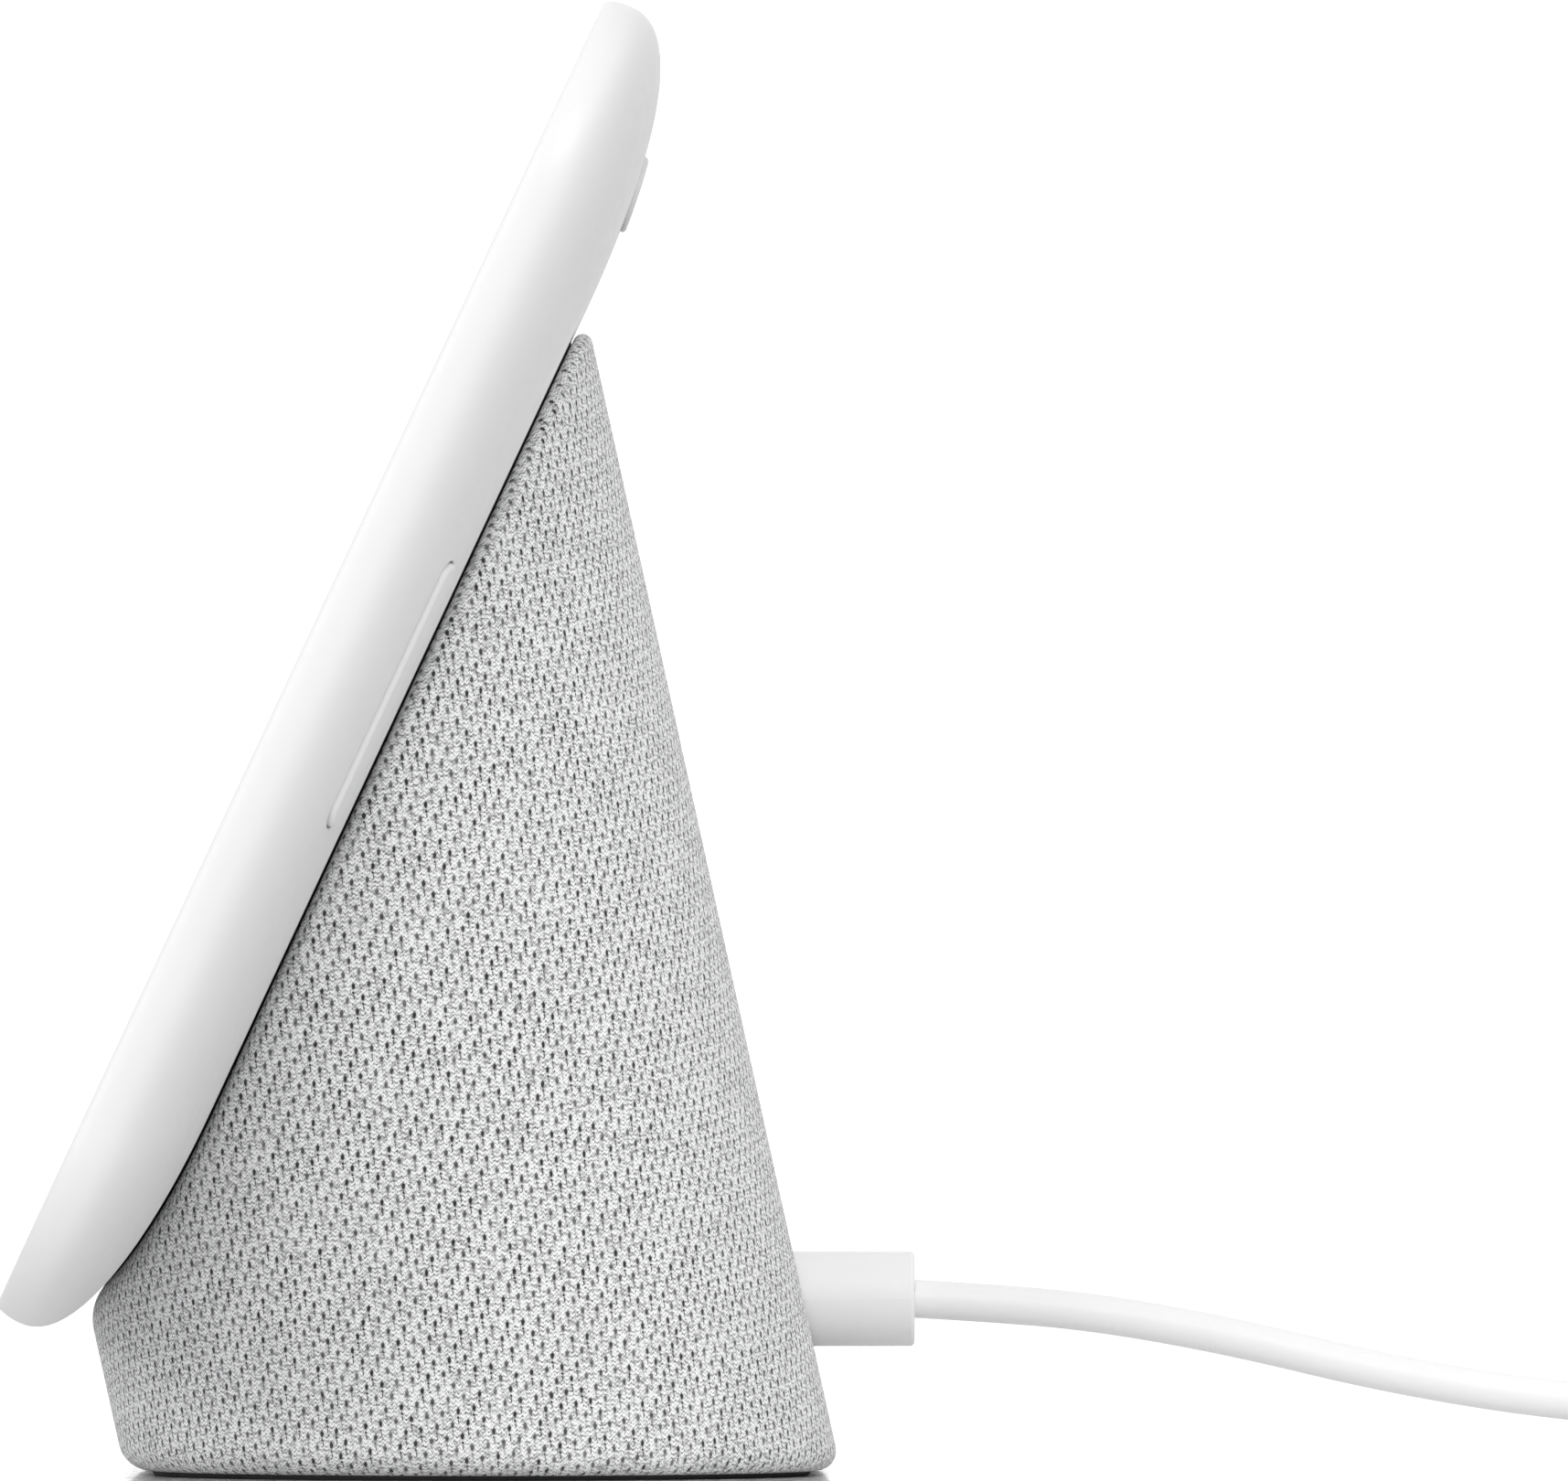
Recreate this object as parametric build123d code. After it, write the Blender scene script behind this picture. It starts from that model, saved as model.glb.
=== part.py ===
from build123d import *
import os
from math import cos, sin, tan, pi, radians, degrees, sqrt

os.makedirs("parts", exist_ok=True)

# A tilted smart display on a fabric-covered base, in millimetres.
# X runs across the display, +Y points behind it, +Z is up, and Z = 0 is the table.

# ---- driving dimensions ----------------------------------------------------
screen_width = 178.5        # the display from side to side
screen_height = 115.5       # the display along its own face
screen_depth = 8.88         # front face to flat back
screen_tilt = 25.0          # lean back from the vertical, degrees
screen_corner = 16.0        # corner radius of the display's outline
face_y = -9.43              # middle of the front face
face_z = 66.25

base_half_width = 54.0      # base in X, half
base_half_depth = 28.9      # base in Y, half, also the radius of its round ends
base_foot_y = 5.18          # middle of the base at table height
base_lean = 12.42           # the base leans forward, degrees
seat_gap = 0.2              # dark line between the display and the base

housing_wall = 1.5
clearance = 0.25            # moving plastic beside fixed plastic
slip = 0.1                  # fixed pieces side by side

# ---- display edge profile --------------------------------------------------
edge_front_inset = 0.65     # the front corner lies this far inside the widest line
edge_wide_depth = 2.15      # depth of the widest line behind the face
edge_round = 22.0           # the back is flat beyond this inset
edge_power = 2.3            # exponent of the superellipse from the widest line to the back
corner_shrink = 0.45        # loss of corner radius for each millimetre of inset

# ---- glass and panel -------------------------------------------------------
glass_inset = 1.3
glass_thick = 1.1
panel_width = 160.0
panel_height = 92.0
panel_thick = 2.2
frame_thick = 0.9
frame_inset = 9.0
mic_spacing = 38.0
mic_hole_r = 0.5
mic_inset = 5.6             # mic holes below the display's top edge

# ---- boards behind the panel -----------------------------------------------
board_width = 92.0
board_height = 46.0
board_thick = 1.0
board_lift = 13.0           # board middle above the display's middle
standoff = 0.5
chip_height = 0.9
screw_r = 1.0
screw_head_r = 1.7
screw_head = 0.6

# ---- volume rocker and mic switch ------------------------------------------
rocker_length = 23.0
rocker_width = 3.4
rocker_inset = 7.0          # outer side of the rocker inside the display's side edge
rocker_proud = 0.43
rocker_tilt = 1.2           # degrees each way
knob_length = 11.0
knob_width = 6.3
knob_inset = 9.3            # top of the knob below the display's top edge
knob_proud = 0.45
knob_travel = 4.0
recess_depth = 0.8
stem_length = 3.0
stem_width = 2.0

# ---- base ------------------------------------------------------------------
fabric_thick = 0.9
shell_wall = 2.0
fabric_floor = 0.4          # fabric hem above the table
hem_round = 2.0             # height of the hem's rounding
hem_inset = 0.8
rim_width = 6.0             # the cover reaches this far in across the base's top
foot_inset = 2.35
bottom_thick = 2.4
weight_thick = 4.0

# ---- neck ------------------------------------------------------------------
neck_length = 44.0
neck_width = 16.0
neck_drop = 24.0            # neck middle below the display's middle
neck_collar = 4.0           # shoulder round the neck that the base bears on
bracket_thick = 1.6

# ---- speaker ---------------------------------------------------------------
speaker_r = 21.75
speaker_z = 42.0
speaker_depth = 17.0
magnet_r = 13.0
magnet_thick = 6.0
cone_outer_r = 16.2
cone_inner_r = 6.0
cone_drop = 5.5
cone_thick = 0.5
cone_travel = 1.5
surround_r = 19.2

# ---- power lead ------------------------------------------------------------
plug_z = 13.9
plug_r = 3.85
plug_end_y = 40.2
barrel_r = 1.7
barrel_length = 9.5
jack_size = 9.0
jack_depth = 12.0
cord_r = 1.55
coil_turns = 12
coil_columns = 3
coil_pitch = 3.2
coil_mean_r = 18.3
coil_y = 124.0
coil_lift = 0.7
tie_thick = 0.6
tie_width = 8.0
adapter_side = 46.0
adapter_height = 27.0
adapter_round = 8.0
relief_length = 12.0
relief_r = 3.0
adapter_gap_y = 158.0       # where the cord meets the adapter's strain relief
blade_thick = 1.5
blade_width = 6.4
blade_length = 17.5
blade_spacing = 12.7

FACE = Plane(origin=(0, face_y, face_z), x_dir=(1, 0, 0),
             z_dir=(0, -cos(radians(screen_tilt)), sin(radians(screen_tilt))))

nodes = {}


def keep(name, *shapes):
    """Write one node: one solid, or a group of separate solids."""
    solids = [s for shape in shapes for s in shape.solids()]
    nodes[name] = solids
    export_step(Compound(children=solids), f"parts/{name}.step")


def on_face(shape):
    """Move a shape drawn flat (front face up at z = 0) to its place in the tilted display."""
    return FACE.location * shape


# ---- shapes drawn flat in the display's own frame: Z points out of the glass -----------

def outline(inset, corner):
    """The display's rounded outline, drawn smaller by an inset."""
    return RectangleRounded(screen_width - 2 * inset, screen_height - 2 * inset, corner)


def edge_depth(inset, wall=0.0):
    """Depth of the outer skin behind the face at an inset from the widest line."""
    share = min(1.0, (edge_round - inset) / (edge_round - wall)) ** edge_power
    return edge_wide_depth + (screen_depth - wall - edge_wide_depth) * (1 - share) ** (1 / edge_power)


def skin(wall=0.0):
    """The display's rounded body in bands, its skin moved inward by a wall (outward if negative)."""
    spread = edge_round - wall
    levels = [(edge_front_inset + wall, 0.0), (wall + 0.12, 1.1), (wall, edge_wide_depth)]
    for step in (0.02, 0.06, 0.13, 0.23, 0.37, 0.56, 0.8):
        inset = wall + spread * step
        levels.append((inset, edge_depth(inset, wall)))
    levels.append((edge_round, screen_depth - wall))
    sections = []
    for inset, depth in levels:
        corner = screen_corner - corner_shrink * inset
        sections.append(Pos(0, 0, -depth) * outline(inset, corner))
    return loft(sections, ruled=True)


def pill(length, width, low, high):
    """A pill-shaped prism between two depths, long in X."""
    return Pos(0, 0, -high) * extrude(SlotOverall(length, width), high - low)


def slab(width, height, low, high, corner=2.0):
    """A rounded plate between two depths."""
    return Pos(0, 0, -high) * extrude(RectangleRounded(width, height, corner), high - low)


def post(radius, low, high):
    return Pos(0, 0, -high) * extrude(Circle(radius), high - low)


def screw(head_depth, length, radius=screw_r, head_r=screw_head_r):
    """A screw with its head at a depth, its shank pointing to the front."""
    head = post(head_r, head_depth, head_depth + screw_head)
    shank = post(radius, head_depth - length, head_depth)
    socket = post(radius * 0.6, head_depth + screw_head * 0.5, head_depth + screw_head)
    return head + shank - socket


# ---- places inside the display -----------------------------------------------------------
glass_low = 0.0
glass_high = glass_thick
panel_low = glass_high + slip
panel_high = panel_low + panel_thick
frame_low = panel_high + slip
frame_high = frame_low + frame_thick
rocker_low = frame_high + 1.7
seat_depth = screen_depth + seat_gap + fabric_thick + slip      # outside of the base shell's top
neck_end = seat_depth + shell_wall
board_low = frame_high + standoff
board_high = board_low + board_thick
cavity_high = screen_depth - housing_wall
glass_width = screen_width - 2 * glass_inset
glass_height = screen_height - 2 * glass_inset
glass_corner = screen_corner - glass_inset
frame_width = screen_width - 2 * frame_inset
frame_height = screen_height - 2 * frame_inset
rocker_x = screen_width / 2 - rocker_inset - rocker_width / 2
knob_y = screen_height / 2 - knob_inset - knob_width / 2
recess_length = knob_length + knob_travel + 2 * clearance
recess_width = knob_width + 2 * clearance
neck_y = -neck_drop
neck_screw_x = neck_length / 2 - 6.0
post_r = 2.6
housing_screw_places = [(x * (frame_width / 2 - 5.0), y * (frame_height / 2 - 5.0))
                        for x in (-1, 1) for y in (-1, 1)]
housing_screw_places += [(0.0, -(frame_height / 2 - 5.0)), (30.0, frame_height / 2 - 5.0)]
board_screw_places = [(x * (board_width / 2 - 4.0), board_lift + y * (board_height / 2 - 4.0))
                      for x in (-1, 1) for y in (-1, 1)]
sensor_x = mic_spacing / 2
sensor_y = screen_height / 2 - mic_inset


def rocker_pill(grow, low, high):
    """The volume rocker's outline along the display's side, as a prism between two depths."""
    turned = Rot(0, 0, 90) * pill(rocker_length + 2 * grow, rocker_width + 2 * grow, low, high)
    return Pos(rocker_x, 0, 0) * turned


def recess_pill(low, high):
    return Pos(0, knob_y, 0) * pill(recess_length, recess_width, low, high)


# ---- the display's fixed pieces --------------------------------------------------------

def front_glass():
    glass = slab(glass_width, glass_height, glass_low, glass_high, glass_corner)
    for side in (-1, 1):
        glass -= Pos(side * sensor_x, sensor_y, 0) * post(mic_hole_r, glass_low - 1, glass_high + 1)
    return fillet(glass.faces().sort_by(Axis.Z)[-1].outer_wire().edges(), 0.25)


def lcd_panel():
    panel = slab(panel_width, panel_height, panel_low, panel_high, 1.0)
    step = slab(panel_width - 6, 5.0, panel_low + 1.2, panel_high, 0.5)
    return panel - Pos(0, -panel_height / 2 + 2.5, 0) * step


def mid_frame():
    """A moulded tray behind the panel, with stiffening ribs, posts for the board and screw eyes."""
    tray = slab(frame_width, frame_height, frame_low, frame_high, 6.0)
    hole = slab(32.0, 18.0, frame_low - 1, frame_high + 1, 3.0)
    for x in (-52, 52):
        tray -= Pos(x, -26, 0) * hole
    for x, y in board_screw_places:
        tray += Pos(x, y, 0) * post(post_r, frame_low, board_low)
        tray -= Pos(x, y, 0) * post(screw_r, frame_low - 1, board_low + 1)
    for x, y in housing_screw_places:
        tray -= Pos(x, y, 0) * post(screw_r + slip, frame_low - 1, frame_high + 1)
        tray -= Pos(x, y, 0) * post(screw_head_r + slip, frame_low - 1, frame_low + screw_head)
    rib = slab(frame_width - 40, 1.2, frame_high, frame_high + 1.6, 0.5)
    for y in (-38, 40):
        tray += Pos(0, y, 0) * rib
    return tray


def rear_housing():
    """The white back shell: lip round the glass, posts, neck boss, rocker slot and switch recess."""
    shell = skin()
    cavity = skin(housing_wall) & slab(screen_width, screen_height, glass_high + slip, cavity_high, 1.0)
    shell -= cavity
    shell -= slab(glass_width + 2 * slip, glass_height + 2 * slip, -1, glass_high + slip, glass_corner + slip)
    for x, y in housing_screw_places:
        shell += Pos(x, y, 0) * post(post_r, frame_high, cavity_high + 0.2)
    for x, y in housing_screw_places:
        shell -= Pos(x, y, 0) * post(screw_r, frame_high - 1, cavity_high - 1.0)
    shell += Pos(0, neck_y, 0) * pill(neck_length, neck_width, screen_depth - 0.2, neck_end)
    wide = pill(neck_length + 2 * neck_collar, neck_width + neck_collar, screen_depth - 0.2, seat_depth)
    shell += Pos(0, neck_y, 0) * wide
    for side in (-1, 1):
        shell -= Pos(side * neck_screw_x, neck_y, 0) * post(screw_r, screen_depth - 0.6, neck_end + 1)
    shell -= Pos(0, neck_y, 0) * pill(16.0, 8.0, cavity_high - 1, neck_end + 1)
    shell -= rocker_pill(clearance, edge_wide_depth + 2.5, screen_depth + 1)
    shell -= recess_pill(edge_wide_depth + 2, screen_depth + 1) - skin(recess_depth)
    slot_width = stem_width + 2 * clearance
    slot = slab(knob_travel + stem_length + 2 * clearance, slot_width, edge_wide_depth + 2, screen_depth + 1, 0.6)
    shell -= Pos(0, knob_y, 0) * slot
    return shell


def volume_rocker():
    """A rocker cap that follows the curved back edge and stands a little proud of it."""
    return rocker_pill(0, rocker_low, screen_depth + 1) & skin(-rocker_proud)


def rocker_board():
    """A small upright board with a tact switch behind each end of the rocker."""
    return Pos(rocker_x - 1.2, 0, 0) * slab(3.0, rocker_length + 8, frame_high + 0.1, frame_high + 0.7, 0.6)


def tact_switch(side):
    place = Pos(rocker_x - 1.2, side * rocker_length * 0.3, 0)
    return place * slab(1.8, 3.0, frame_high + 0.7, frame_high + 1.2, 0.3)


def mic_knob():
    """A sliding knob that follows the curved back, with a stem through the recess floor."""
    rest = Pos(-knob_travel / 2, knob_y, 0)
    head = rest * pill(knob_length, knob_width, edge_wide_depth + 2, screen_depth + 1)
    head = (head & skin(-knob_proud)) - skin(recess_depth - clearance)
    stem = rest * slab(stem_length, stem_width, cavity_high - 1.4, screen_depth - 0.9, 0.4)
    return head + stem


def mic_switch_board():
    board = Pos(0, knob_y, 0) * slab(20.0, 9.0, frame_high + 0.3, frame_high + 0.9, 0.8)
    return board


def mic_slide_switch():
    body = Pos(0, knob_y, 0) * slab(11.0, 4.6, frame_high + 0.9, cavity_high - 1.65, 0.4)
    return body


def main_board():
    board = Pos(0, board_lift, 0) * slab(board_width, board_height, board_low, board_high, 2.0)
    for x, y in board_screw_places:
        board -= Pos(x, y, 0) * post(screw_r + slip, board_low - 1, board_high + 1)
    return board


def chip(x, y, width, height, tall=chip_height):
    return Pos(x, board_lift + y, 0) * slab(width, height, board_high, board_high + tall, 0.2)


def board_chips():
    """Processor, memory, power and sound chips, two coils and a row of capacitors."""
    found = [chip(14, 6, 12, 12), chip(14, -9, 10, 8), chip(30, 6, 8, 10), chip(30, -9, 6, 6)]
    found += [chip(-2, -10, 5, 5), chip(38, 16, 4, 4), chip(38, -17, 4, 4)]
    found += [chip(-2 + 3 * step, 17, 1.4, 0.8, 0.6) for step in range(8)]
    return found


def shield_can():
    outer = Pos(-24, board_lift + 2, 0) * slab(32, 26, board_high, board_high + 1.0, 1.0)
    inner = Pos(-24, board_lift + 2, 0) * slab(31.4, 25.4, board_high - 1, board_high + 0.8, 0.8)
    return outer - inner


def heat_spreader():
    low = cavity_high - 0.35
    plate = Pos(20, board_lift - 1, 0) * slab(44, 30, low, cavity_high - 0.05, 2.0)
    return plate


def sensor_board():
    board = Pos(0, sensor_y - 0.8, 0) * slab(mic_spacing + 10, 4.6, panel_low + 0.8, panel_low + 1.4, 0.5)
    return board


def microphone(side):
    return Pos(side * sensor_x, sensor_y - 0.6, 0) * slab(3.0, 2.4, panel_low + 1.4, panel_low + 2.2, 0.2)


def mic_gasket(side):
    ring = Pos(side * sensor_x, sensor_y, 0)
    return ring * (post(1.4, panel_low, panel_low + 0.7) - post(mic_hole_r, panel_low - 1, panel_low + 1))


def light_sensor():
    return Pos(0, sensor_y - 0.2, 0) * slab(2.0, 2.0, panel_low + 0.1, panel_low + 0.8, 0.2)


def antenna(side):
    strip = Pos(side * 60, 34, 0) * slab(18, 7, frame_high, frame_high + 0.2, 1.0)
    return strip


def panel_ribbon():
    """The flat cable from the panel's lower edge up to the main board's connector."""
    low = frame_high
    run = Pos(-20, -12, 0) * slab(14, 16, low, low + 0.2, 0.3)
    plug_block = Pos(-20, board_lift - board_height / 2 - 3.5, 0) * slab(16, 3.0, low + 0.2, low + 1.5, 0.4)
    return run + plug_block


def housing_screws():
    """Heads sunk in the tray's front face, shanks in the rear housing's posts."""
    shank = post(screw_r - 0.05, frame_low + screw_head * 0.5, cavity_high - 1.6)
    one = post(screw_head_r, frame_low, frame_low + screw_head) + shank
    one -= post(screw_r * 0.6, frame_low - 1, frame_low + screw_head * 0.5)
    return [Pos(x, y, 0) * one for x, y in housing_screw_places]


def board_screws():
    return [Pos(x, y, 0) * screw(board_high, 1.3, screw_r - 0.05, screw_head_r) for x, y in board_screw_places]


# ---- base, in the part's own frame ---------------------------------------------------------
lean_slope = tan(radians(base_lean))
shell_inset = fabric_thick + slip
inner_inset = shell_inset + shell_wall
shell_floor = 1.0
bottom_top = shell_floor + bottom_thick
weight_top = bottom_top + slip + weight_thick
board_floor = plug_z - jack_size / 2 - 0.1
base_top = 130.0


def base_block(inset, low):
    """The leaning base with round ends, drawn smaller by an inset, from a height up past the display."""
    slot = SlotOverall(2 * (base_half_width - inset), 2 * (base_half_depth - inset))
    start = Pos(0, base_foot_y - lean_slope * low, low) * slot
    rise = base_top - low
    return extrude(start, rise * sqrt(1 + lean_slope ** 2), dir=(0, -lean_slope, 1))


def level_plate(inset, low, high):
    """A level plate with the base's own outline, its edge leaning as the wall does."""
    slot = SlotOverall(2 * (base_half_width - inset), 2 * (base_half_depth - inset))
    start = Pos(0, base_foot_y - lean_slope * low, low) * slot
    return extrude(start, (high - low) * sqrt(1 + lean_slope ** 2), dir=(0, -lean_slope, 1))


def seat_cut(gap):
    """Everything from the display's back and lower edge forward, grown by a gap."""
    points = [(120.0, screen_depth + gap)]
    for step in (1.0, 0.8, 0.56, 0.37, 0.23, 0.13, 0.06, 0.02, 0.0):
        inset = -gap + (edge_round + gap) * step
        points.append((inset - screen_height / 2, edge_depth(inset, -gap)))
    points += [(-gap - screen_height / 2, -80.0), (120.0, -80.0)]
    wire = Polyline(*[(0, up, -depth) for up, depth in points], close=True)
    return on_face(extrude(make_face(wire), 100.0, dir=(1, 0, 0), both=True))


def rear_hole(radius, start_y, end_y):
    """A cylinder along Y at the power plug's height."""
    return Pos(0, start_y, plug_z) * Rot(-90, 0, 0) * Cylinder(radius, end_y - start_y, align=LOW)


LOW = (Align.CENTER, Align.CENTER, Align.MIN)
plug_hole_r = plug_r + 0.3
wall_y = base_foot_y - lean_slope * speaker_z + base_half_depth - inner_inset
SPEAKER = Plane(origin=(0, wall_y, speaker_z), x_dir=(1, 0, 0),
                z_dir=(0, cos(radians(base_lean)), sin(radians(base_lean))))
gasket_thick = 1.0
gasket_width = 0.8
ear_screw_r = 0.7
ear_screw_length = 3.4
side_post_x = base_half_width - inner_inset - 3.0
rear_post_y = base_foot_y + base_half_depth - inner_inset - 4.2
base_posts = [(-side_post_x, base_foot_y - 1.0), (side_post_x, base_foot_y - 1.0),
              (-24.0, rear_post_y), (24.0, rear_post_y)]


def turned(*points):
    """A ring-shaped piece of the speaker: a profile of (radius, height) turned about its axis."""
    wire = Polyline(*[(radius, 0, height) for radius, height in points], close=True)
    return SPEAKER.location * revolve(make_face(wire), Axis.Z)


def base_shell():
    """The moulded shell under the fabric: leaning wall, closed top, screw posts, neck and jack holes."""
    outer = base_block(shell_inset, shell_floor) - seat_cut(seat_depth - screen_depth)
    inner = base_block(inner_inset, shell_floor - 5) - seat_cut(neck_end - screen_depth)
    shell = outer - inner
    for x, y in base_posts:
        shell += Pos(x, y, bottom_top) * Cylinder(3.4, 9.0, align=LOW)
    shell -= Pos(0, 0, shell_floor - 20) * Box(200, 200, 20, align=LOW)
    for x, y in base_posts:
        shell -= Pos(x, y, bottom_top - 1) * Cylinder(screw_r, 8.0, align=LOW)
    opening = pill(neck_length + 2 * slip, neck_width + 2 * slip, screen_depth, neck_end + 4)
    shell -= on_face(Pos(0, neck_y, 0) * opening)
    shell -= rear_hole(plug_hole_r, wall_y, base_half_depth + 20)
    slot = extrude(SlotOverall(30.0, 2.2), 12.0)
    for step in range(-2, 3):
        shell -= SPEAKER.location * (Pos(0, 5.0 * step, -2.0) * slot)
    for boss in at_ears(Pos(0, 0, flange_front) * Cylinder(1.8, gasket_thick + 0.5, align=LOW)):
        shell += boss
    for hole in at_ears(Pos(0, 0, flange_front - 1) * Cylinder(ear_screw_r, ear_screw_length, align=LOW)):
        shell -= hole
    return shell


def hem_band():
    """The lowest band of the cover, which draws in towards the table."""
    low = fabric_floor
    high = fabric_floor + hem_round
    sections = []
    for inset, level in ((hem_inset, low), (0, high)):
        slot = SlotOverall(2 * (base_half_width - inset), 2 * (base_half_depth - inset))
        sections.append(Pos(0, base_foot_y - lean_slope * level, level) * slot)
    return loft(sections, ruled=True)


def fabric_sleeve():
    """The knitted cover: over the wall, round the rim and a little way across the top."""
    cover = (base_block(0, fabric_floor + hem_round) + hem_band()) - seat_cut(seat_gap)
    body = base_block(fabric_thick, fabric_floor - 5) - seat_cut(seat_gap + fabric_thick)
    cover -= body
    cover -= base_block(rim_width, fabric_floor - 5)
    return cover - rear_hole(plug_hole_r, wall_y, base_half_depth + 20)


def bottom_plate():
    plate = level_plate(inner_inset + slip, shell_floor, bottom_top)
    for x, y in base_posts:
        plate -= Pos(x, y, shell_floor - 1) * Cylinder(screw_r + slip, 5, align=LOW)
        plate -= Pos(x, y, shell_floor - 1) * Cylinder(screw_head_r + slip, 1 + screw_head + 0.1, align=LOW)
    return plate


def foot_pad():
    """The rubber foot: its outline follows the base, its lower edge is rounded."""
    slot = SlotOverall(2 * (base_half_width - foot_inset), 2 * (base_half_depth - foot_inset))
    pad = Pos(0, base_foot_y - 0.2, 0) * extrude(slot, shell_floor)
    return fillet(pad.faces().sort_by(Axis.Z)[0].outer_wire().edges(), 0.35)


def base_weight():
    """A steel plate that keeps the display from tipping, with four lugs that carry the power board."""
    slot = SlotOverall(84.0, 36.0)
    plate = Pos(0, base_foot_y - 2.0, bottom_top + slip) * extrude(slot, weight_thick)
    for x, y in weight_lugs:
        plate += Pos(x, y, weight_top - 0.5) * Cylinder(2.2, board_floor - 1.0 - weight_top + 0.5, align=LOW)
        plate -= Pos(x, y, weight_top - 1.5) * Cylinder(screw_r, 6, align=LOW)
    return plate


weight_lugs = [(x, y) for x in (-14.0, 14.0) for y in (-6.0, 16.0)]


def base_screws():
    one = Cylinder(screw_head_r, screw_head, align=LOW) + Cylinder(screw_r - 0.05, 6.0, align=LOW)
    one -= Pos(0, 0, -1) * Cylinder(screw_r * 0.6, 1 + screw_head * 0.5, align=LOW)
    return [Pos(x, y, shell_floor + 0.05) * one for x, y in base_posts]


def power_board():
    board = Pos(0, 9.0, board_floor - 1.0) * extrude(RectangleRounded(36, 34, 2.0), 1.0)
    for x, y in weight_lugs:
        board -= Pos(x, y, board_floor - 2) * Cylinder(screw_r + slip, 4, align=LOW)
    return board


def power_chips():
    found = []
    for x, y, side, tall in ((-10, 6, 7, 4.0), (-1, 4, 5, 1.2), (9, 5, 4, 3.0), (-8, 15, 3, 1.0)):
        found.append(Pos(x, y, board_floor) * Box(side, side, tall, align=LOW))
    return found


def power_board_screws():
    one = Pos(0, 0, board_floor) * Cylinder(screw_head_r, screw_head, align=LOW)
    one += Pos(0, 0, board_floor - 1.9) * Cylinder(screw_r - 0.05, 2.0, align=LOW)
    return [Pos(x, y, 0) * one for x, y in weight_lugs]


jack_front_y = wall_y + 5.0


def dc_jack():
    """The socket for the round plug, with its barrel's bore and a centre pin."""
    corner = Pos(0, jack_front_y - jack_depth / 2, board_floor + 0.05)
    body = corner * Box(jack_size, jack_depth, jack_size, align=LOW)
    body -= rear_hole(barrel_r + 0.08, jack_front_y - barrel_length - 0.6, jack_front_y + 1)
    pin = rear_hole(0.45, jack_front_y - barrel_length - 1.0, jack_front_y - 2.0)
    return body + pin


def neck_bracket():
    """The steel plate that clamps the base's top to the display's neck."""
    plate = pill(neck_length + 14, neck_width + 8, neck_end, neck_end + bracket_thick)
    plate -= pill(17.0, 9.0, neck_end - 1, neck_end + 4)
    for side in (-1, 1):
        plate -= Pos(side * neck_screw_x, 0, 0) * post(screw_r + slip, neck_end - 1, neck_end + 4)
    return Pos(0, neck_y, 0) * plate


def neck_screws():
    one = screw(neck_end + bracket_thick, 4.6, screw_r - 0.05, 2.0)
    return [Pos(side * neck_screw_x, neck_y, 0) * one for side in (-1, 1)]


def tube(points, radius, radii):
    """A round tube of straight runs joined by tangent arcs."""
    path = FilletPolyline(*points, radius=radii)
    start = Plane(origin=path @ 0, z_dir=path % 0)
    return sweep(start * Circle(radius), path=path), path


def corner_radii(points, share=0.45):
    """At each corner: a share of the shorter run, divided by the tangent of half the turn."""
    found = []
    for before, here, after in zip(points, points[1:], points[2:]):
        first = Vector(*here) - Vector(*before)
        second = Vector(*after) - Vector(*here)
        turn = radians(first.get_angle(second))
        found.append(share * min(first.length, second.length) / tan(turn / 2))
    return found


def inside_face(x, up, depth):
    """A point of the display's frame, in the part's frame."""
    place = on_face(Pos(x, up, -depth)).position
    return (place.X, place.Y, place.Z)


def power_harness():
    """The cable from the power board, up through the neck and into the display."""
    points = [(5.0, 3.0, board_floor + 0.1), (5.0, 3.0, 19.0), inside_face(3.0, neck_y, neck_end + 8.0)]
    points += [inside_face(3.0, neck_y, cavity_high - 1.2), inside_face(3.0, board_lift - 25.5, cavity_high - 1.4)]
    radii = [2.0 + 2.0 * (index < 2) for index in range(len(points) - 2)]
    radii[-1] = 1.3
    return tube(points, 1.1, radii)[0]


# ---- speaker, turned about its own axis --------------------------------------------------
flange_front = -gasket_thick
flange_back = flange_front - 1.2
cone_top = flange_front - 1.0
magnet_front = -speaker_depth + magnet_thick


ear_reach = speaker_r + 0.6
ear_places = [(ear_reach * cos(radians(45 + 90 * step)), ear_reach * sin(radians(45 + 90 * step)))
              for step in range(4)]


def at_ears(shape):
    """Four copies of a shape round the speaker's rim."""
    return [SPEAKER.location * (Pos(x, y, 0) * shape) for x, y in ear_places]


def speaker_gasket():
    """A soft ring between the speaker's rim and the shell."""
    inner = surround_r + 0.3
    return turned((inner + gasket_width, -0.05), (inner, -0.05), (inner, flange_front), (inner + gasket_width, flange_front))


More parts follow.
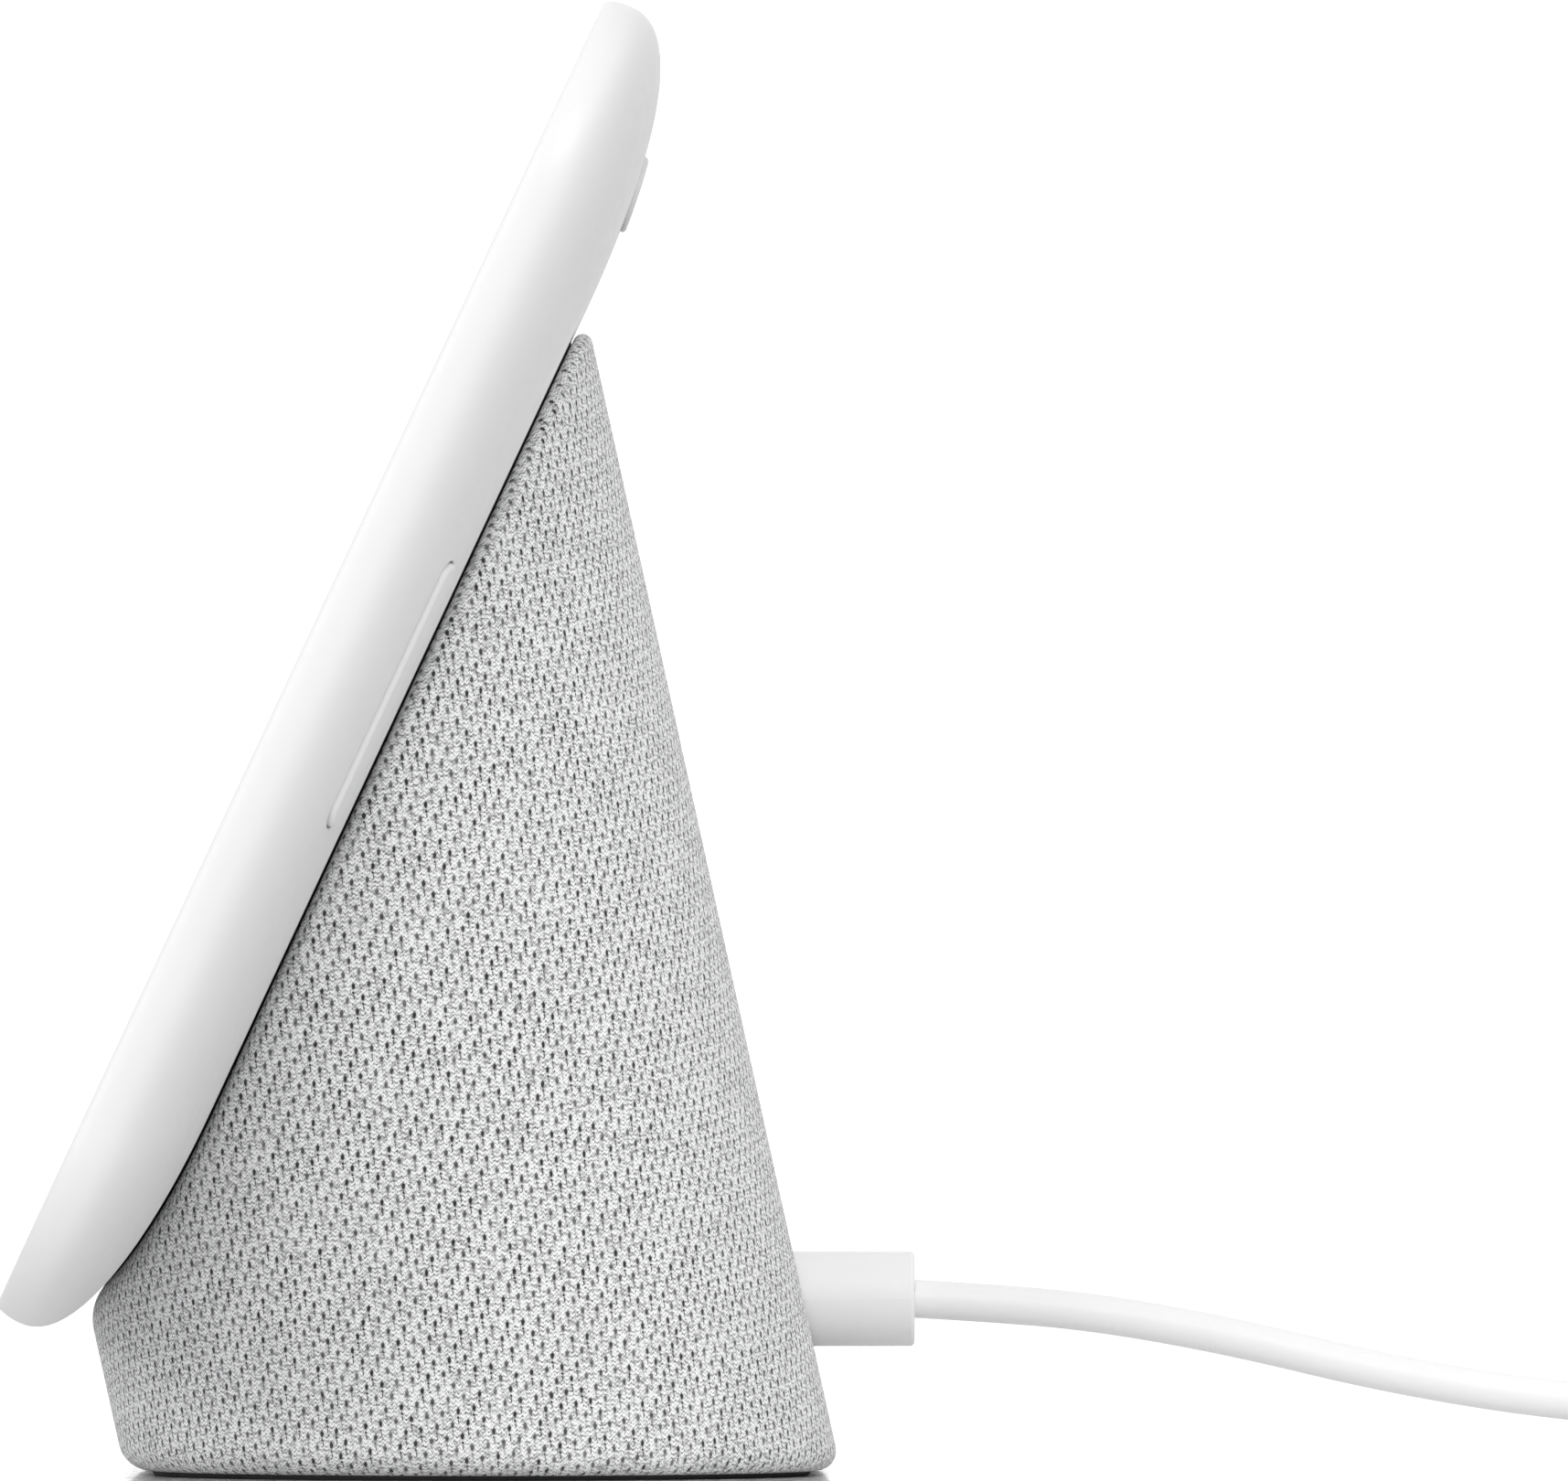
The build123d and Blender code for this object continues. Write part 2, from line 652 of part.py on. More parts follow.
def speaker_basket():
    """The pressed frame: flange, four windowed legs and the seat for the magnet."""
    rim = speaker_r
    frame = turned((rim, flange_front), (surround_r, flange_front), (surround_r, flange_back - 0.6),
                   (magnet_r, magnet_front + 1.0), (7.4, magnet_front + 1.0), (7.4, magnet_front),
                   (magnet_r + 1.0, magnet_front), (rim - 1.6, flange_back), (rim, flange_back))
    window = Pos(0, 0, magnet_front + 4.6) * Box(12.0, 60.0, 4.6)
    frame -= SPEAKER.location * window
    frame -= SPEAKER.location * (Rot(0, 0, 90) * window)
    for ear in at_ears(Pos(0, 0, flange_back) * Cylinder(2.2, flange_front - flange_back, align=LOW)):
        frame += ear
    for hole in at_ears(Pos(0, 0, flange_back - 1) * Cylinder(ear_screw_r + 0.05, 4, align=LOW)):
        frame -= hole
    return frame


def speaker_magnet():
    return turned((magnet_r, magnet_front), (7.4, magnet_front), (7.4, -speaker_depth + 1.2), (magnet_r, -speaker_depth + 1.2))


def speaker_yoke():
    """The back plate with the pole in the middle of the magnet."""
    back = -speaker_depth
    return turned((0, magnet_front + 0.8), (5.2, magnet_front + 0.8), (5.2, back + 1.2), (magnet_r, back + 1.2),
                  (magnet_r, back), (0, back))


def speaker_cone():
    """The cone with its dust cap and the coil former that runs in the magnet's gap."""
    low = cone_top - cone_drop
    skirt = magnet_front - 1.5
    return turned((cone_outer_r, cone_top), (cone_inner_r, low), (3.0, low + 1.3), (0, low + 1.6), (0, low + 1.1),
                  (3.0, low + 0.8), (5.9, low - 0.5), (5.9, skirt), (6.4, skirt), (6.4, low - 0.3),
                  (cone_outer_r, cone_top - cone_thick))


def speaker_surround():
    """The rubber roll between the cone's edge and the basket."""
    middle = (cone_outer_r + surround_r) / 2
    half = (surround_r - cone_outer_r) / 2 - 0.06
    ring = Pos(middle, 0, cone_top - 0.25) * (Rot(90, 0, 0) * (Circle(half) - Circle(half - 0.35)))
    ring -= Pos(middle, 0, cone_top - 0.25 - half) * (Rot(90, 0, 0) * Rectangle(2 * half + 1, 2 * half))
    return SPEAKER.location * revolve(ring, Axis.Z)


def speaker_spider():
    low = magnet_front + 2.2
    return turned((magnet_r - 0.2, low), (6.5, low), (6.5, low + 0.3), (magnet_r - 0.2, low + 0.3))


def speaker_screws():
    """Four screws through the ears of the basket's rim into bosses of the shell."""
    one = Pos(0, 0, flange_back - screw_head) * Cylinder(1.2, screw_head, align=LOW)
    one += Pos(0, 0, flange_back) * Cylinder(ear_screw_r, ear_screw_length, align=LOW)
    return at_ears(one)


# ---- power lead ------------------------------------------------------------------------
cord_floor = coil_lift + cord_r
coil_half = coil_columns * coil_pitch / 2
coil_layers = coil_turns // coil_columns
coil_entry_r = coil_mean_r + coil_half - coil_pitch / 2
coil_x = -coil_entry_r
coil_top = cord_floor + (coil_layers - 1) * coil_pitch
relief_z = adapter_height / 2
plug_start_y = jack_front_y + 0.3

# The route is chosen by hand: out of the plug, down to the table, and into the coil.
cord_route = [(0.0, plug_end_y, plug_z), (0.0, 45.6, 13.6), (0.2, 54.8, 12.85), (0.5, 66.0, 10.85),
              (0.8, 78.0, 7.95), (0.8, 90.0, 5.9), (0.4, 101.0, 4.9), (0.1, 110.0, 2.9),
              (0.0, 117.0, cord_floor), (0.1, coil_y, cord_floor)]
tail_route = [(0.0, coil_y, coil_top), (-0.2, 133.0, coil_top + 0.4), (0.2, 143.0, 12.6),
              (0.1, 151.0, 13.4), (0.0, adapter_gap_y, relief_z)]


def lead_tube(points, name):
    """One free stretch of cord, with its radii and its volume compared with section times length."""
    radii = corner_radii(points)
    solid, path = tube(points, cord_r, radii)
    expected = pi * cord_r ** 2 * path.length
    print(name, "radii", [round(radius, 1) for radius in radii])
    print(name, "length", round(path.length, 1), "volume ratio", round(solid.volume / expected, 4))
    return solid, path.length


def dc_plug():
    """The round overmould of the low-voltage plug, its outer end slightly domed."""
    body = rear_hole(plug_r, plug_start_y, plug_end_y)
    edge = body.faces().sort_by(Axis.Y)[-1].edges()
    return fillet(edge, 0.35)


def plug_barrel():
    """The metal barrel in the socket, hollow for the centre pin."""
    solid = rear_hole(barrel_r, jack_front_y - barrel_length, plug_start_y)
    return solid - rear_hole(0.6, jack_front_y - barrel_length - 1, plug_start_y - 1.0)


def cord_coil():
    """The outer shape of the wound cord: a thick ring with rounded edges."""
    width = 2 * coil_half
    height = coil_layers * coil_pitch
    section = Pos(coil_mean_r, 0, 0) * (Rot(90, 0, 0) * RectangleRounded(width, height, 1.2))
    ring = revolve(section, Axis.Z)
    return Pos(coil_x, coil_y, coil_lift + height / 2) * ring


def cord_tie():
    """A soft strap round the coil on the side away from the cord's two ends."""
    width = 2 * coil_half + 2 * slip
    height = coil_layers * coil_pitch + 2 * slip
    outer = RectangleRounded(width + 2 * tie_thick, height + 2 * tie_thick, 1.8)
    inner = RectangleRounded(width, height, 1.25)
    section = Pos(coil_mean_r, 0, 0) * (Rot(90, 0, 0) * (outer - inner))
    span = degrees(tie_width / coil_mean_r)
    band = Rot(0, 0, 180 - span / 2) * revolve(section, Axis.Z, revolution_arc=span)
    return Pos(coil_x, coil_y, coil_lift + coil_layers * coil_pitch / 2) * band


def adapter_body():
    """The wall adapter: a plain soft-edged block, lying on one of its wide faces."""
    block = extrude(RectangleRounded(adapter_side, adapter_side, adapter_round), adapter_height)
    block = fillet(block.faces().filter_by(Axis.Z).edges(), 3.0)
    return Pos(0, adapter_gap_y + relief_length + adapter_side / 2, 0) * block


def adapter_relief():
    """The tapered sleeve where the cord enters the adapter."""
    cone = Cone(cord_r + 0.9, relief_r, relief_length, align=LOW)
    return Pos(0, adapter_gap_y, relief_z) * (Rot(-90, 0, 0) * cone)


def adapter_blades():
    """Two flat contacts on the face away from the cord, in the common flat-blade spacing."""
    outlet_y = adapter_gap_y + relief_length + adapter_side
    blades = []
    for side in (-1, 1):
        blade = Pos(side * blade_spacing / 2, outlet_y + blade_length / 2, relief_z) \
            * Box(blade_thick, blade_length, blade_width)
        blades.append(blade)
    return blades


# ---- build everything ------------------------------------------------------------------
flat_pieces = {
    "front_glass": [front_glass()],
    "lcd_panel": [lcd_panel()],
    "mid_frame": [mid_frame()],
    "rear_housing": [rear_housing()],
    "volume_rocker": [volume_rocker()],
    "rocker_board": [rocker_board()],
    "rocker_switches": [tact_switch(side) for side in (-1, 1)],
    "mic_switch_knob": [mic_knob()],
    "mic_switch_board": [mic_switch_board()],
    "mic_slide_switch": [mic_slide_switch()],
    "main_board": [main_board()],
    "board_chips": board_chips(),
    "shield_can": [shield_can()],
    "heat_spreader": [heat_spreader()],
    "sensor_board": [sensor_board()],
    "microphones": [microphone(side) for side in (-1, 1)],
    "mic_gaskets": [mic_gasket(side) for side in (-1, 1)],
    "light_sensor": [light_sensor()],
    "wifi_antennas": [antenna(side) for side in (-1, 1)],
    "panel_ribbon": [panel_ribbon()],
    "housing_screws": housing_screws(),
    "board_screws": board_screws(),
    "neck_bracket": [neck_bracket()],
    "neck_screws": neck_screws(),
}
for name, shapes in flat_pieces.items():
    keep(name, *[on_face(shape) for shape in shapes])

keep("base_shell", base_shell())
keep("fabric_sleeve", fabric_sleeve())
keep("bottom_plate", bottom_plate())
keep("foot_pad", foot_pad())
keep("base_weight", base_weight())
keep("base_screws", *base_screws())
keep("power_board", power_board())
keep("power_chips", *power_chips())
keep("power_board_screws", *power_board_screws())
keep("dc_jack", dc_jack())
keep("power_harness", power_harness())
keep("speaker_gasket", speaker_gasket())
keep("speaker_basket", speaker_basket())
keep("speaker_magnet", speaker_magnet())
keep("speaker_yoke", speaker_yoke())
keep("speaker_cone", speaker_cone())
keep("speaker_surround", speaker_surround())
keep("speaker_spider", speaker_spider())
keep("speaker_screws", *speaker_screws())

lead, lead_length = lead_tube(cord_route, "power_cord")
tail, tail_length = lead_tube(tail_route, "power_cord_tail")
keep("power_cord", lead)
keep("power_cord_tail", tail)
keep("power_cord_coil", cord_coil())
keep("cord_tie", cord_tie())
keep("dc_plug", dc_plug())
keep("plug_barrel", plug_barrel())
keep("adapter_body", adapter_body())
keep("adapter_relief", adapter_relief())
keep("adapter_blades", *adapter_blades())
coil_length = 2 * pi * coil_mean_r * coil_turns
print("cord length", round(lead_length + tail_length + coil_length, 1), "of which coiled", round(coil_length, 1))
print("nodes", len(nodes))
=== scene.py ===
# %% [markdown]
# # A tilted smart display on a knitted base
#
# The construction is already done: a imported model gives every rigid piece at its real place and
# size. This lesson puts the looks around it. We load that model as a fixed frame and never move it.
# All lengths below are in metres, so a value written as `3 * MM` reads as three millimetres.

# %% Load the frame
import math
import bmesh
import bpy
import numpy as np
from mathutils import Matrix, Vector


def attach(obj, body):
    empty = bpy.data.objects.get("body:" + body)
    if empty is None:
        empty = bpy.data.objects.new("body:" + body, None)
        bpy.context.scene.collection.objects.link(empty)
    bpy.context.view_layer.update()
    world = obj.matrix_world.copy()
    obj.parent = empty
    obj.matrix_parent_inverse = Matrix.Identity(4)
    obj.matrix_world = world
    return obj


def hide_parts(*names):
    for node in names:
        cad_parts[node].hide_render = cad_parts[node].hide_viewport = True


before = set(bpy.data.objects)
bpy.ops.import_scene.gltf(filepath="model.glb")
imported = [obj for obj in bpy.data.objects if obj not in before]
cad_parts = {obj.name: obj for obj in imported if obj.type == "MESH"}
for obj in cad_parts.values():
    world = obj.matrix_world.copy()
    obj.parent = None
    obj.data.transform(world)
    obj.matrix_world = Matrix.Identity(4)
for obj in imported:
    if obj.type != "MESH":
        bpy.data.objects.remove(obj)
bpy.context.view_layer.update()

MM = 0.001

# %% [markdown]
# ## The camera
#
# The display is seen exactly from its side through a very long lens, as in a catalogue picture. A
# long lens from far away keeps the outline almost free of perspective, so the slim edge of the
# display reads true. The camera stands on the right and looks along -X, a touch to the rear.

# %% Camera
camera_distance = 3.4
camera_height = 59.3 * MM
camera_side = 2.5 * MM
seen_middle_y = 29.6 * MM
seen_width = 127.5 * MM
sensor_width = 36.0

camera_data = bpy.data.cameras.new("long_lens")
camera_data.sensor_width = sensor_width
camera_data.lens = sensor_width * camera_distance / seen_width
camera_data.clip_end = 20.0
camera = bpy.data.objects.new("long_lens", camera_data)
bpy.context.scene.collection.objects.link(camera)
camera.location = (camera_distance, camera_side, camera_height)
aim = Vector((0.0, seen_middle_y, camera_height)) - camera.location
camera.rotation_euler = aim.to_track_quat("-Z", "Y").to_euler()
bpy.context.scene.camera = camera
print("lens", round(camera_data.lens), "mm")

# %% [markdown]
# ## The power lead
#
# The real lead is a metre and a half of thin, fairly stiff cord. It leaves the round plug level,
# sinks to the table in one lazy bend, and the rest is wound into a tidy coil for the shelf. One
# smooth spline carries all of it: listed points for the free stretch, then points worked out
# turn by turn for the coil. A curve with a round bevel is the natural tool, because the cord keeps
# its length and its thickness wherever it goes.

# %% Lead sizes, shared with the construction
cord_radius = 1.55 * MM
coil_turns = 12
coil_columns = 3
coil_pitch = 3.2 * MM
coil_mean_radius = 18.3 * MM
coil_y = 124.0 * MM
coil_floor = 2.25 * MM
coil_outer_turn = coil_mean_radius + (coil_columns - 1) / 2 * coil_pitch
coil_x = -coil_outer_turn
coil_layers = coil_turns // coil_columns
coil_top = coil_floor + (coil_layers - 1) * coil_pitch

free_route = [(0.0, 40.2, 13.9), (0.0, 45.6, 13.6), (0.2, 54.8, 12.85), (0.5, 66.0, 10.85),
              (0.8, 78.0, 7.95), (0.8, 90.0, 5.9), (0.4, 101.0, 4.9), (0.1, 110.0, 2.9),
              (0.0, 117.0, 2.25), (0.1, 124.0, 2.25)]
tail_route = [(-0.2, 133.0, 12.25), (0.2, 143.0, 12.6), (0.1, 151.0, 13.4), (0.0, 158.0, 13.5)]


# %% Coil turns
def coil_points(points_per_turn=16, shift=0.16):
    """Points of the wound cord: angle grows evenly, radius and height step at each turn's end.

    Turns are laid side by side from the outside in, then from the inside out one layer higher.
    A quadratic spline runs inside its control points, so the radius is swelled by the mean of
    one and the cosine of half a step, inverted.
    """
    turn = np.arange(points_per_turn * coil_turns + 1) / points_per_turn
    whole = np.minimum(turn.astype(int), coil_turns - 1)
    late = np.clip((turn - whole - 1 + shift) / shift, 0, 1)
    blend = late * late * (3 - 2 * late)

    def radius_and_height(index):
        index = np.minimum(index, coil_turns - 1)
        layer = index // coil_columns
        place = index % coil_columns
        place = np.where(layer % 2 == 0, place, coil_columns - 1 - place)
        return coil_outer_turn - place * coil_pitch, coil_floor + layer * coil_pitch

    radius_now, height_now = radius_and_height(whole)
    radius_next, height_next = radius_and_height(whole + 1)
    radius = radius_now + (radius_next - radius_now) * blend
    height = height_now + (height_next - height_now) * blend
    radius *= 2 / (1 + math.cos(math.pi / points_per_turn))
    angle = 2 * math.pi * turn
    x = coil_x + radius * np.cos(angle)
    y = coil_y + radius * np.sin(angle)
    return np.stack([x, y, height], axis=1)


wound = coil_points()
route = np.vstack([np.array(free_route) * MM, wound[1:], np.array(tail_route) * MM])
print("lead route:", len(route), "points, of which", len(wound), "are the coil")


# %% Cord curve
def nurbs_cord(name, points, radius):
    """An open quadratic NURBS curve through the route's control points, with a round section."""
    data = bpy.data.curves.new(name, "CURVE")
    data.dimensions = "3D"
    spline = data.splines.new("NURBS")
    spline.points.add(len(points) - 1)
    weights = np.ones((len(points), 1))
    spline.points.foreach_set("co", np.hstack([points, weights]).ravel())
    spline.points.foreach_set("radius", np.full(len(points), radius))
    spline.order_u = 3
    spline.use_endpoint_u = True
    data.resolution_u = 8
    data.bevel_depth = 1.0
    data.bevel_resolution = 4
    data.use_fill_caps = True
    piece = bpy.data.objects.new(name, data)
    bpy.context.scene.collection.objects.link(piece)
    return piece


power_lead = nurbs_cord("power_lead", route, cord_radius)
length = power_lead.data.splines[0].calc_length()
print("lead length", round(length, 3), "m")
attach(power_lead, "power_lead")
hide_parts("power_cord", "power_cord_coil", "power_cord_tail")

# %% [markdown]
# ## Surfaces from grids
#
# Every new piece here is a grid of points worked out with numpy: one direction runs round the piece,
# the other runs along its profile. One helper turns such a grid into a mesh. It also stores a UV map
# in metres where a pattern has to follow the surface, as a knit does.

# %% Grid helper
def grid_piece(name, points, uv=None, start_cap=False, end_cap=False):
    """A mesh whose rows are closed rings: each grid cell becomes one quad, each end may get a cap."""
    rows, columns, _ = points.shape
    column = np.arange(columns)
    beside = (column + 1) % columns
    low = (np.arange(rows - 1) * columns)[:, None]
    high = low + columns
    quads = np.stack([low + column, low + beside, high + beside, high + column], axis=-1)
    faces = quads.reshape(-1, 4).tolist()
    if start_cap:
        faces.append(column[::-1].tolist())
    if end_cap:
        faces.append(((rows - 1) * columns + column).tolist())
    mesh = bpy.data.meshes.new(name)
    mesh.from_pydata(points.reshape(-1, 3), [], faces)
    mesh.polygons.foreach_set("use_smooth", np.ones(len(faces), bool))
    if uv is not None:
        corners = np.stack([uv[:-1, :-1], uv[:-1, 1:], uv[1:, 1:], uv[1:, :-1]], axis=2)
        layer = mesh.uv_layers.new(name="surface")
        layer.data.foreach_set("uv", corners.reshape(-1))
    piece = bpy.data.objects.new(name, mesh)
    bpy.context.scene.collection.objects.link(piece)
    print(name, "has", len(faces), "faces")
    return piece


def close_rows(piece):
    """Join rings that lie on each other and turn every face out."""
    shape = bmesh.new()
    shape.from_mesh(piece.data)
    bmesh.ops.remove_doubles(shape, verts=shape.verts, dist=1e-7)
    bmesh.ops.recalc_face_normals(shape, faces=shape.faces)
    shape.to_mesh(piece.data)
    shape.free()


# %% [markdown]
# ## The knitted cover of the base
#
# The base is an oval tube that leans forward, cut off where the display sits on it. Its cover is one
# piece of heathered knit pulled over it: it rounds the hem at the table, climbs the wall, turns over
# the rim and disappears under the display. A point of the cover is set by how far round the oval it
# is and how far along that path. The rim's height is found by halving an interval, for all columns
# at once, because the display's lower edge is curved and has no simple formula for it.

# %% Base sizes, shared with the construction
face_middle_y = -9.43 * MM
face_middle_z = 66.25 * MM
tilt = math.radians(25.0)
screen_width = 178.5 * MM
screen_height = 115.5 * MM
screen_depth = 8.88 * MM
edge_wide_depth = 2.15 * MM
edge_round = 22.0 * MM
edge_power = 2.3

base_half_width = 54.0 * MM
base_half_depth = 28.9 * MM
base_foot_y = 5.18 * MM
lean_slope = math.tan(math.radians(12.42))
seat_gap = 0.2 * MM
plug_height = 13.9 * MM
straight_half = base_half_width - base_half_depth
round_length = math.pi * base_half_depth
oval_length = 4 * straight_half + 2 * round_length


# %% Oval and seat
def oval(distance):
    """Round the oval from the middle of the rear: the centre line's x, and the outward normal."""
    stops = np.cumsum([0, straight_half, round_length, 2 * straight_half, round_length, straight_half])
    middle_x = np.interp(distance, stops, np.array([0, -1, -1, 1, 1, 0]) * straight_half)
    angle = np.interp(distance, stops, np.array([0.5, 0.5, 1.5, 1.5, 2.5, 2.5]) * math.pi)
    return middle_x, np.cos(angle), np.sin(angle)


def wall_point(distance, inset, height):
    """A point of the leaning wall: out from the centre line along the normal, forward with height."""
    middle_x, normal_x, normal_y = oval(distance)
    reach = base_half_depth - inset
    y = base_foot_y - lean_slope * height + reach * normal_y
    x = middle_x + reach * normal_x
    return np.stack(np.broadcast_arrays(x, y, height), axis=-1)


def skin_depth(inset, grow=0.0):
    """Depth of the display's back behind its face: a superellipse from the widest line to the flat."""
    share = np.clip((edge_round - inset) / (edge_round + grow), 0, 1) ** edge_power
    rise = screen_depth + grow - edge_wide_depth
    return edge_wide_depth + rise * (1 - share) ** (1 / edge_power)


def above_seat(point, gap):
    """Distance behind the display's back grown by a gap; large below the display's lower edge."""
    forward = point[..., 1] - face_middle_y
    upward = point[..., 2] - face_middle_z
    along = forward * math.sin(tilt) + upward * math.cos(tilt)
    depth = forward * math.cos(tilt) - upward * math.sin(tilt)
    inset = along + screen_height / 2
    return np.where(inset < -gap, 1.0, depth - skin_depth(inset, gap))


def rim_height(distance, inset, gap=seat_gap):
    """Height where the wall drawn in by an inset meets the seat: an interval halved 40 times."""
    low = np.full(np.shape(distance), 2.0 * MM)
    high = np.full(np.shape(distance), 115.0 * MM)
    for _ in range(40):
        middle = (low + high) / 2
        below = above_seat(wall_point(distance, inset, middle), gap) > 0
        low = np.where(below, middle, low)
        high = np.where(below, high, middle)
    return low


# %% Cover surface
cover_columns = 420
cover_thickness = 0.6 * MM
hem_floor = 0.4 * MM
hem_radius = 2.0 * MM
hem_margins = (3.4 * MM, 2.4 * MM)
hem_steps = 7
rim_reach = 2.3 * MM
cover_reach = 6.0 * MM
wall_steps = 55


def seat_point(distance, inset):
    """A point of the cover where it lies across the seat."""
    return wall_point(distance, inset, rim_height(distance, inset))


def rim_landing(distance):
    """The inset at which the rounded rim meets the seat, one rim reach in from the sharp corner."""
    probe = 1.0 * MM
    slant = np.linalg.norm(seat_point(distance, probe) - seat_point(distance, 0.0), axis=-1)
    return rim_reach * probe / slant


def rim_rows(start, corner, landing, count=10):
    """Arcs that leave the wall and meet the seat smoothly, whatever the angle between the two.

    Each is a quadratic curve over three points whose middle one weighs the sine of half the angle
    at the corner. With equal sides that weight makes the curve a true circle.
    """
    down, across = start - corner, landing - corner
    lengths = np.linalg.norm(down, axis=-1) * np.linalg.norm(across, axis=-1)
    cosine = np.sum(down * across, axis=-1) / lengths
    weight = np.sqrt((1 - cosine) / 2)[:, None]
    rows = []
    for share in np.linspace(0, 1, count + 1)[1:]:
        pulls = ((1 - share) ** 2, 2 * share * (1 - share) * weight, share ** 2)
        rows.append((pulls[0] * start + pulls[1] * corner + pulls[2] * landing) / sum(pulls))
    return rows


def hem_rows(distance):
    """Rows under the hem and round it: a flat margin, then a quarter circle up to the wall."""
    rows = [wall_point(distance, inset, np.full_like(distance, hem_floor)) for inset in hem_margins]
    for angle in np.linspace(0, math.pi / 2, hem_steps):
        inset = hem_radius * (1 - math.sin(angle))
        height = hem_floor + hem_radius * (1 - math.cos(angle))
        rows.append(wall_point(distance, inset, np.full_like(distance, height)))
    return rows


def cover_grid():
    """Rows from under the hem, up the wall, round the rim and across the top, each one oval ring."""
    distance = np.linspace(0, oval_length, cover_columns + 1)
    rows = hem_rows(distance)
    wall_start = hem_floor + hem_radius
    top = rim_height(distance, 0.0)
    for share in np.linspace(0, 1, wall_steps + 1)[1:]:
        rows.append(wall_point(distance, 0.0, wall_start + share * (top - rim_reach - wall_start)))
    inner_inset = rim_landing(distance)
    rows += rim_rows(rows[-1], wall_point(distance, 0.0, top), seat_point(distance, inner_inset))
    for share in np.linspace(0, 1, 7)[1:]:
        rows.append(seat_point(distance, inner_inset + share * (cover_reach - inner_inset)))
    return distance, np.stack(rows)


distance, cover_points = cover_grid()
row_steps = np.linalg.norm(np.diff(cover_points, axis=0), axis=2)
climb = np.vstack([np.zeros(cover_columns + 1), np.cumsum(row_steps, axis=0)])
wall_start_row = len(hem_margins) + hem_steps - 1
slant = math.sqrt(1 + lean_slope ** 2)
climb -= climb[wall_start_row] - cover_points[wall_start_row, :, 2] * slant
upright = climb / slant
cover_uv = np.stack([distance - lean_slope * upright, upright], axis=-1)
knit_cover = grid_piece("knit_cover", cover_points[:, :-1], uv=cover_uv)


# %% Black band in the gap between the base and the display, painted shadow
shadow_band_setback = 0.3 * MM
shadow_band_lap = 0.8 * MM


def shadow_band_grid():
    """A four-cornered section swept round the oval: it fills the gap to the display behind the rim with
    black, as painted shadow.
    """
    around = np.linspace(0, oval_length, 181)[:-1]
    outer = rim_landing(around) + shadow_band_setback
    inner = cover_reach + shadow_band_lap
    corners = ((outer, 0.03), (inner, 0.03), (inner, 1.2), (outer, 0.7), (outer, 0.03))
    rows = []
    for inset, gap in corners:
        rows.append(wall_point(around, inset, rim_height(around, inset, gap * MM)))
    return np.stack(rows)


# The band is near black so that the gap behind the rim reads dark: painted shadow.
gap_shadow_band = grid_piece("seat_gap_shadow", shadow_band_grid())
close_rows(gap_shadow_band)
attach(gap_shadow_band, "display_and_base")


# %% Plug hole and thickness
sharp_angle = math.radians(32)


def cut_away(piece, cutter):
    """Cut one closed mesh out of another and apply the result, so that no modifier is left."""
    boolean = piece.modifiers.new("cut", "BOOLEAN")
    boolean.operation = "DIFFERENCE"
    boolean.solver = "EXACT"
    boolean.object = cutter
    apply_modifiers(piece)
    bpy.data.objects.remove(cutter)


def apply_modifiers(piece):
    """Replace a piece's mesh with its evaluated one, its edges sharp where faces meet steeply."""
    graph = bpy.context.evaluated_depsgraph_get()
    finished = bpy.data.meshes.new_from_object(piece.evaluated_get(graph))
    finished.set_sharp_from_angle(angle=sharp_angle)
    piece.modifiers.clear()
    piece.data = finished


def ring_points(radius, middle, across, up, count=64):
    """A circle of points in the plane of two unit vectors."""
    angle = np.linspace(0, 2 * math.pi, count, endpoint=False)[:, None]
    return np.array(middle) + radius * (np.cos(angle) * np.array(across) + np.sin(angle) * np.array(up))


plug_hole_radius = 4.15 * MM
plug_hole_span = (22.0 * MM, 45.0 * MM)
hole_rings = []
for y in plug_hole_span:
    hole_rings.append(ring_points(plug_hole_radius, (0, y, plug_height), (1, 0, 0), (0, 0, 1)))
hole_cutter = grid_piece("plug_hole", np.stack(hole_rings)[:, ::-1], start_cap=True, end_cap=True)
thick = knit_cover.modifiers.new("thickness", "SOLIDIFY")
thick.thickness = cover_thickness
thick.offset = -1
apply_modifiers(knit_cover)
cut_away(knit_cover, hole_cutter)
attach(knit_cover, "display_and_base")
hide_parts("fabric_sleeve")

# %% [markdown]
# ## The display's housing and its two controls
#
# The back of the display is a soft pillow: flat in the middle and rounded all round its edge. The
# construction model builds it from straight bands, which show as facets. Here the same profile is
# sampled finely: each ring is a rounded rectangle drawn in by an inset and pushed back by the
# matching depth. The slot for the volume rocker and the recess for the microphone switch are cut out
# of the finished shell.

# %% Display sizes
screen_corner = 16.0 * MM
corner_shrink = 0.45
housing_wall = 1.5 * MM
lip_inset = 1.2 * MM
lip_depth = 1.3 * MM
lip_front = 0.08 * MM
clearance = 0.25 * MM
cut_top = 12.0 * MM


# %% Face frame
def from_face(across, up, depth):
    """A point given across the face, up along it and back behind it, in the part's own frame."""
    y = face_middle_y + up * math.sin(tilt) + depth * math.cos(tilt)
    z = face_middle_z + up * math.cos(tilt) - depth * math.sin(tilt)
    return np.stack(np.broadcast_arrays(across, y, z), axis=-1)


